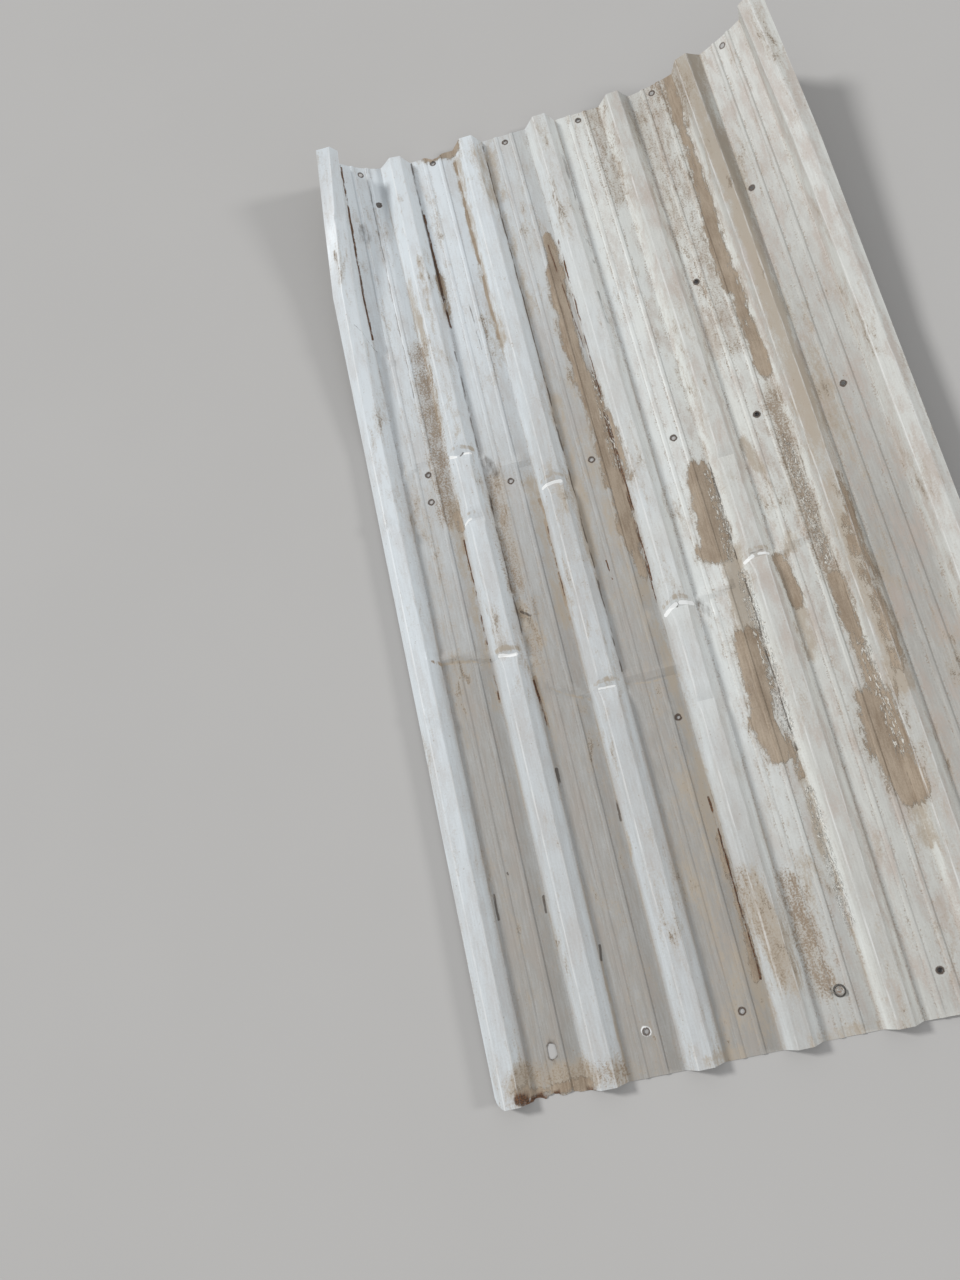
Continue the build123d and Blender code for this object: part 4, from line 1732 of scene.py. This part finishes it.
    @staticmethod
    def places_on(mesh: bpy.types.Mesh, surface: bpy.types.Mesh) -> tuple[np.ndarray, np.ndarray]:
        """Flat place of each point of the finished sheet, and its height over the underside.

        Args:
            mesh: The finished sheet.
            surface: The rolled surface, whose places are known.

        Returns:
            The places in metres, and the heights in metres.
        """
        known = np.empty(len(surface.vertices) * 3, dtype=np.float32)
        surface.attributes[PLACE].data.foreach_get("vector", known)
        known = known.reshape(-1, 3)
        spots = np.empty(len(surface.vertices) * 3, dtype=np.float32)
        surface.vertices.foreach_get("co", spots)
        spots = spots.reshape(-1, 3)
        faces = [tuple(face.vertices) for face in surface.polygons]
        tree = BVHTree.FromPolygons([tuple(p) for p in spots], faces)
        places, over = np.empty((len(mesh.vertices), 3)), np.empty(len(mesh.vertices))
        for number, vertex in enumerate(mesh.vertices):
            nearest, normal, face, _ = tree.find_nearest(vertex.co)
            around = list(faces[face])
            weight = 1.0 / (np.linalg.norm(spots[around] - np.array(nearest), axis=1) + 1e-6) ** 2
            places[number] = weight @ known[around] / weight.sum()
            over[number] = (vertex.co - nearest).dot(normal)
        return places, over

    @staticmethod
    def weather(mesh: bpy.types.Mesh, places: np.ndarray) -> None:
        """Lay the wide marks and the films, some of them painted shade, on the sheet, as attributes.

        Args:
            mesh: The finished sheet.
            places: The flat place of each of its points, in metres.
        """
        flat = places[:, :2] / MILLIMETRE
        covers = {name: np.zeros((len(flat), 3)) for name in ("soil_and_shade", "spots", "film_and_shade")}
        for mark in WIDE_MARKS:
            name, channel = mark.layer.value
            covers[name][:, channel] = np.maximum(covers[name][:, channel], mark.cover(flat))
        for film_and_shade in FILMS_AND_SHADE:
            covers["film_and_shade"][:, 0] = np.maximum(covers["film_and_shade"][:, 0], film_and_shade.cover(flat))
        for name, cover in ((PLACE, places), *covers.items()):
            if name in mesh.attributes:
                mesh.attributes.remove(mesh.attributes[name])
            kept = mesh.attributes.new(name, "FLOAT_VECTOR", "POINT")
            kept.data.foreach_set("vector", cover.astype(np.float32).ravel())

    def build(self) -> bpy.types.Object:
        """Build the sheet and dress it.

        Returns:
            The finished piece.
        """
        coats = [WeatheredPaint(rib_pitch=self.rib_pitch).make(self.hole_places()), BackCoat().make(), CutEdge().make()]
        surface = self.underside(coats[Side.PAINTED.value])
        piece = bpy.data.objects.new("roofing_sheet", surface.copy())
        bpy.context.scene.collection.objects.link(piece)
        steel = piece.modifiers.new("Steel", "SOLIDIFY")
        steel.thickness, steel.offset, steel.use_even_offset = self.steel_thickness * MILLIMETRE, 1.0, True
        cutters = self.cutters()
        for shape in cutters:
            cut = piece.modifiers.new(shape.name, "BOOLEAN")
            cut.operation, cut.solver, cut.object = "DIFFERENCE", "EXACT", shape
        piece.data = evaluated_mesh(piece)
        piece.modifiers.clear()
        for shape in cutters:
            bpy.data.objects.remove(shape)
        mesh = piece.data
        mesh.name = "roofing_sheet"
        places, over = self.places_on(mesh, surface)
        self.weather(mesh, places)
        mesh.materials.clear()
        for coat in coats:
            mesh.materials.append(coat)
        half = self.steel_thickness * MILLIMETRE / 2
        sides = []
        for face in mesh.polygons:
            heights = over[list(face.vertices)]
            if (heights > half).all():
                sides.append(Side.PAINTED.value)
            elif (heights < half).all():
                sides.append(Side.BACK.value)
            else:
                sides.append(Side.EDGE.value)
        mesh.polygons.foreach_set("material_index", sides)
        mesh.shade_smooth()
        mesh.set_sharp_from_angle(angle=math.radians(self.sharp_angle))
        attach(piece, "root")
        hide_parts("sheet")
        return piece


@dataclass
class Turned:
    """A small round piece, turned from a profile. Sizes are in millimetres."""

    name: str
    node: str
    slot: str
    profile: tuple[Point, ...]
    open_middle: bool
    segments: int = 48
    flats: tuple[int, int, float] | None = None
    sharp_angle: float = 35.0

    def radius_at(self, ring: int, radius: float, turn: float) -> float:
        """Radius of one ring in one direction, less on the flats of a hexagon.

        Args:
            ring: The ring's number in the profile.
            radius: Its radius in the profile.
            turn: The direction.

        Returns:
            The radius there.
        """
        if self.flats is None or not self.flats[0] <= ring <= self.flats[1]:
            return radius
        from_flat = (turn + math.pi / 6) % (math.pi / 3) - math.pi / 6
        return min(radius, self.flats[2] / 2 / math.cos(from_flat))

    def build(self, material: bpy.types.Material) -> bpy.types.Object:
        """Build the piece where its CAD node is.

        Args:
            material: Its finish.

        Returns:
            The finished piece.
        """
        low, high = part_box(self.node)
        centre = Vector(((low[0] + high[0]) / 2, (low[1] + high[1]) / 2, 0.0))
        points, faces, rings = [], [], len(self.profile)
        for ring, (radius, height) in enumerate(self.profile):
            for step in range(self.segments):
                turn = 2 * math.pi * step / self.segments
                reach = self.radius_at(ring, radius, turn)
                points.append(centre + Vector((reach * math.cos(turn), reach * math.sin(turn), height)) * MILLIMETRE)
        for ring in range(rings if self.open_middle else rings - 1):
            above = (ring + 1) % rings
            for step in range(self.segments):
                on = (step + 1) % self.segments
                faces.append((ring * self.segments + step, ring * self.segments + on,
                              above * self.segments + on, above * self.segments + step))
        if not self.open_middle:
            faces.append(tuple(reversed(range(self.segments))))
            faces.append(tuple(range((rings - 1) * self.segments, rings * self.segments)))
        piece = mesh_from(self.name, points, faces)
        piece.data.materials.append(material)
        piece.data.shade_smooth()
        piece.data.set_sharp_from_angle(angle=math.radians(self.sharp_angle))
        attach(piece, "root")
        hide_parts(self.node)
        return piece


def old_screw() -> Turned:
    """The old screw: the stub of its shank, its flange and its hex head with a dished top.

    Returns:
        The screw, ready to be built.
    """
    profile = (
        (2.55, 0.0), (2.7, 0.15), (2.7, 2.5), (5.0, 2.5), (5.2, 2.65), (5.2, 3.1), (4.9, 3.4),
        (4.5, 3.45), (4.5, 6.3), (4.2, 6.8), (3.7, 7.0), (2.7, 7.0), (2.3, 6.75), (0.6, 6.7),
    )
    return Turned("old_screw", "screw", "screw_steel", profile, open_middle=False, flats=(7, 9, 7.8))


def old_washer() -> Turned:
    """The round rubber washer under the old screw's head, domed by its pressure.

    Returns:
        The washer, ready to be built.
    """
    profile = (
        (2.8, 0.5), (6.9, 0.5), (7.4, 0.75), (7.5, 1.15), (7.3, 1.6), (6.9, 1.95), (6.2, 2.3),
        (5.4, 2.5), (2.8, 2.5),
    )
    return Turned("old_washer", "washer", "washer_rubber", profile, open_middle=True)


# The studio


@dataclass
class Studio:
    """The plain floor, the soft light and the camera."""

    floor_colour: Colour = (0.46, 0.452, 0.44)
    floor_reach: float = 9.0
    floor_level: float = -0.0004
    darker_share: float = 0.94
    sky_light: float = 0.46
    sky_colour: Colour = (0.99, 1.0, 1.02)
    key_strength: float = 2.1
    key_direction: Triple = (0.66, -0.4, -0.63)
    fill_strength: float = 1.0
    fill_direction: Triple = (-0.88, 0.1, -0.46)
    softness: float = 10.0
    camera_place: Triple = (-0.14586, -0.4476, 1.2366)
    camera_right: Triple = (0.9662, -0.2116, -0.1472)
    camera_up: Triple = (0.2425, 0.9398, 0.2407)
    camera_back: Triple = (0.0874, -0.2683, 0.9594)
    focal_pixels: float = 961.0
    frame_pixels: tuple[int, int] = (960, 1280)
    sensor: float = 36.0

    def lay_floor(self) -> None:
        """Lay the floor just under the sheet."""
        reach, level = self.floor_reach, self.floor_level
        floor = mesh_from("floor", [(-reach, -reach, level), (reach, -reach, level), (reach, reach, level),
                                    (-reach, reach, level)], [(0, 1, 2, 3)])
        material, build, shader = start_material("pale_floor", self.floor_colour)
        place = build.node("ShaderNodeTexCoord").outputs["Object"]
        tone = build.ramp(build.noise(place, 3.0, 3.0), 0.3, 0.7, (0.0, 0.25))
        darker = tuple(self.darker_share * part for part in self.floor_colour)
        build.feed(shader.inputs["Base Color"], build.blend(tone, self.floor_colour, darker))
        shader.inputs["Roughness"].default_value = 0.8
        shader.inputs["Specular IOR Level"].default_value = 0.2
        floor.data.materials.append(material)

    def light(self) -> None:
        """Light the piece softly from all over, most from the upper left, and some from the right."""
        world = bpy.data.worlds.new("studio")
        world.use_nodes = True
        bpy.context.scene.world = world
        background = world.node_tree.nodes["Background"]
        background.inputs["Color"].default_value = (*self.sky_colour, 1.0)
        background.inputs["Strength"].default_value = self.sky_light
        for name, strength, direction in (
            ("key", self.key_strength, self.key_direction), ("fill", self.fill_strength, self.fill_direction)
        ):
            data = bpy.data.lights.new(name, "SUN")
            data.energy, data.angle = strength, math.radians(self.softness)
            lamp = bpy.data.objects.new(name, data)
            lamp.rotation_mode = "QUATERNION"
            lamp.rotation_quaternion = Vector(direction).to_track_quat("-Z", "Y")
            bpy.context.scene.collection.objects.link(lamp)

    def aim(self) -> None:
        """Set the camera up."""
        data = bpy.data.cameras.new("camera")
        data.sensor_width = self.sensor
        data.lens = self.focal_pixels / max(self.frame_pixels) * self.sensor
        camera = bpy.data.objects.new("camera", data)
        axes = Matrix((self.camera_right, self.camera_up, self.camera_back)).transposed()
        camera.matrix_world = Matrix.Translation(self.camera_place) @ axes.normalized().to_4x4()
        bpy.context.scene.collection.objects.link(camera)
        bpy.context.scene.camera = camera

    def build(self) -> None:
        """Set the whole studio up."""
        self.lay_floor()
        self.light()
        self.aim()
        bpy.context.scene.view_settings.view_transform = "Standard"


def main() -> None:
    """Build the pieces in order and set the studio up."""
    logging.basicConfig(level=logging.INFO, format="%(message)s")
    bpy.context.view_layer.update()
    sheet = RolledSheet().build()
    screw = old_screw().build(DullZinc().make())
    washer = old_washer().build(DustyRubber().make())
    for piece in (sheet, screw, washer):
        piece.data.calc_loop_triangles()
        log.info("%s: %d triangles", piece.name, len(piece.data.loop_triangles))
    Studio().build()


if __name__ == "__main__":
    main()
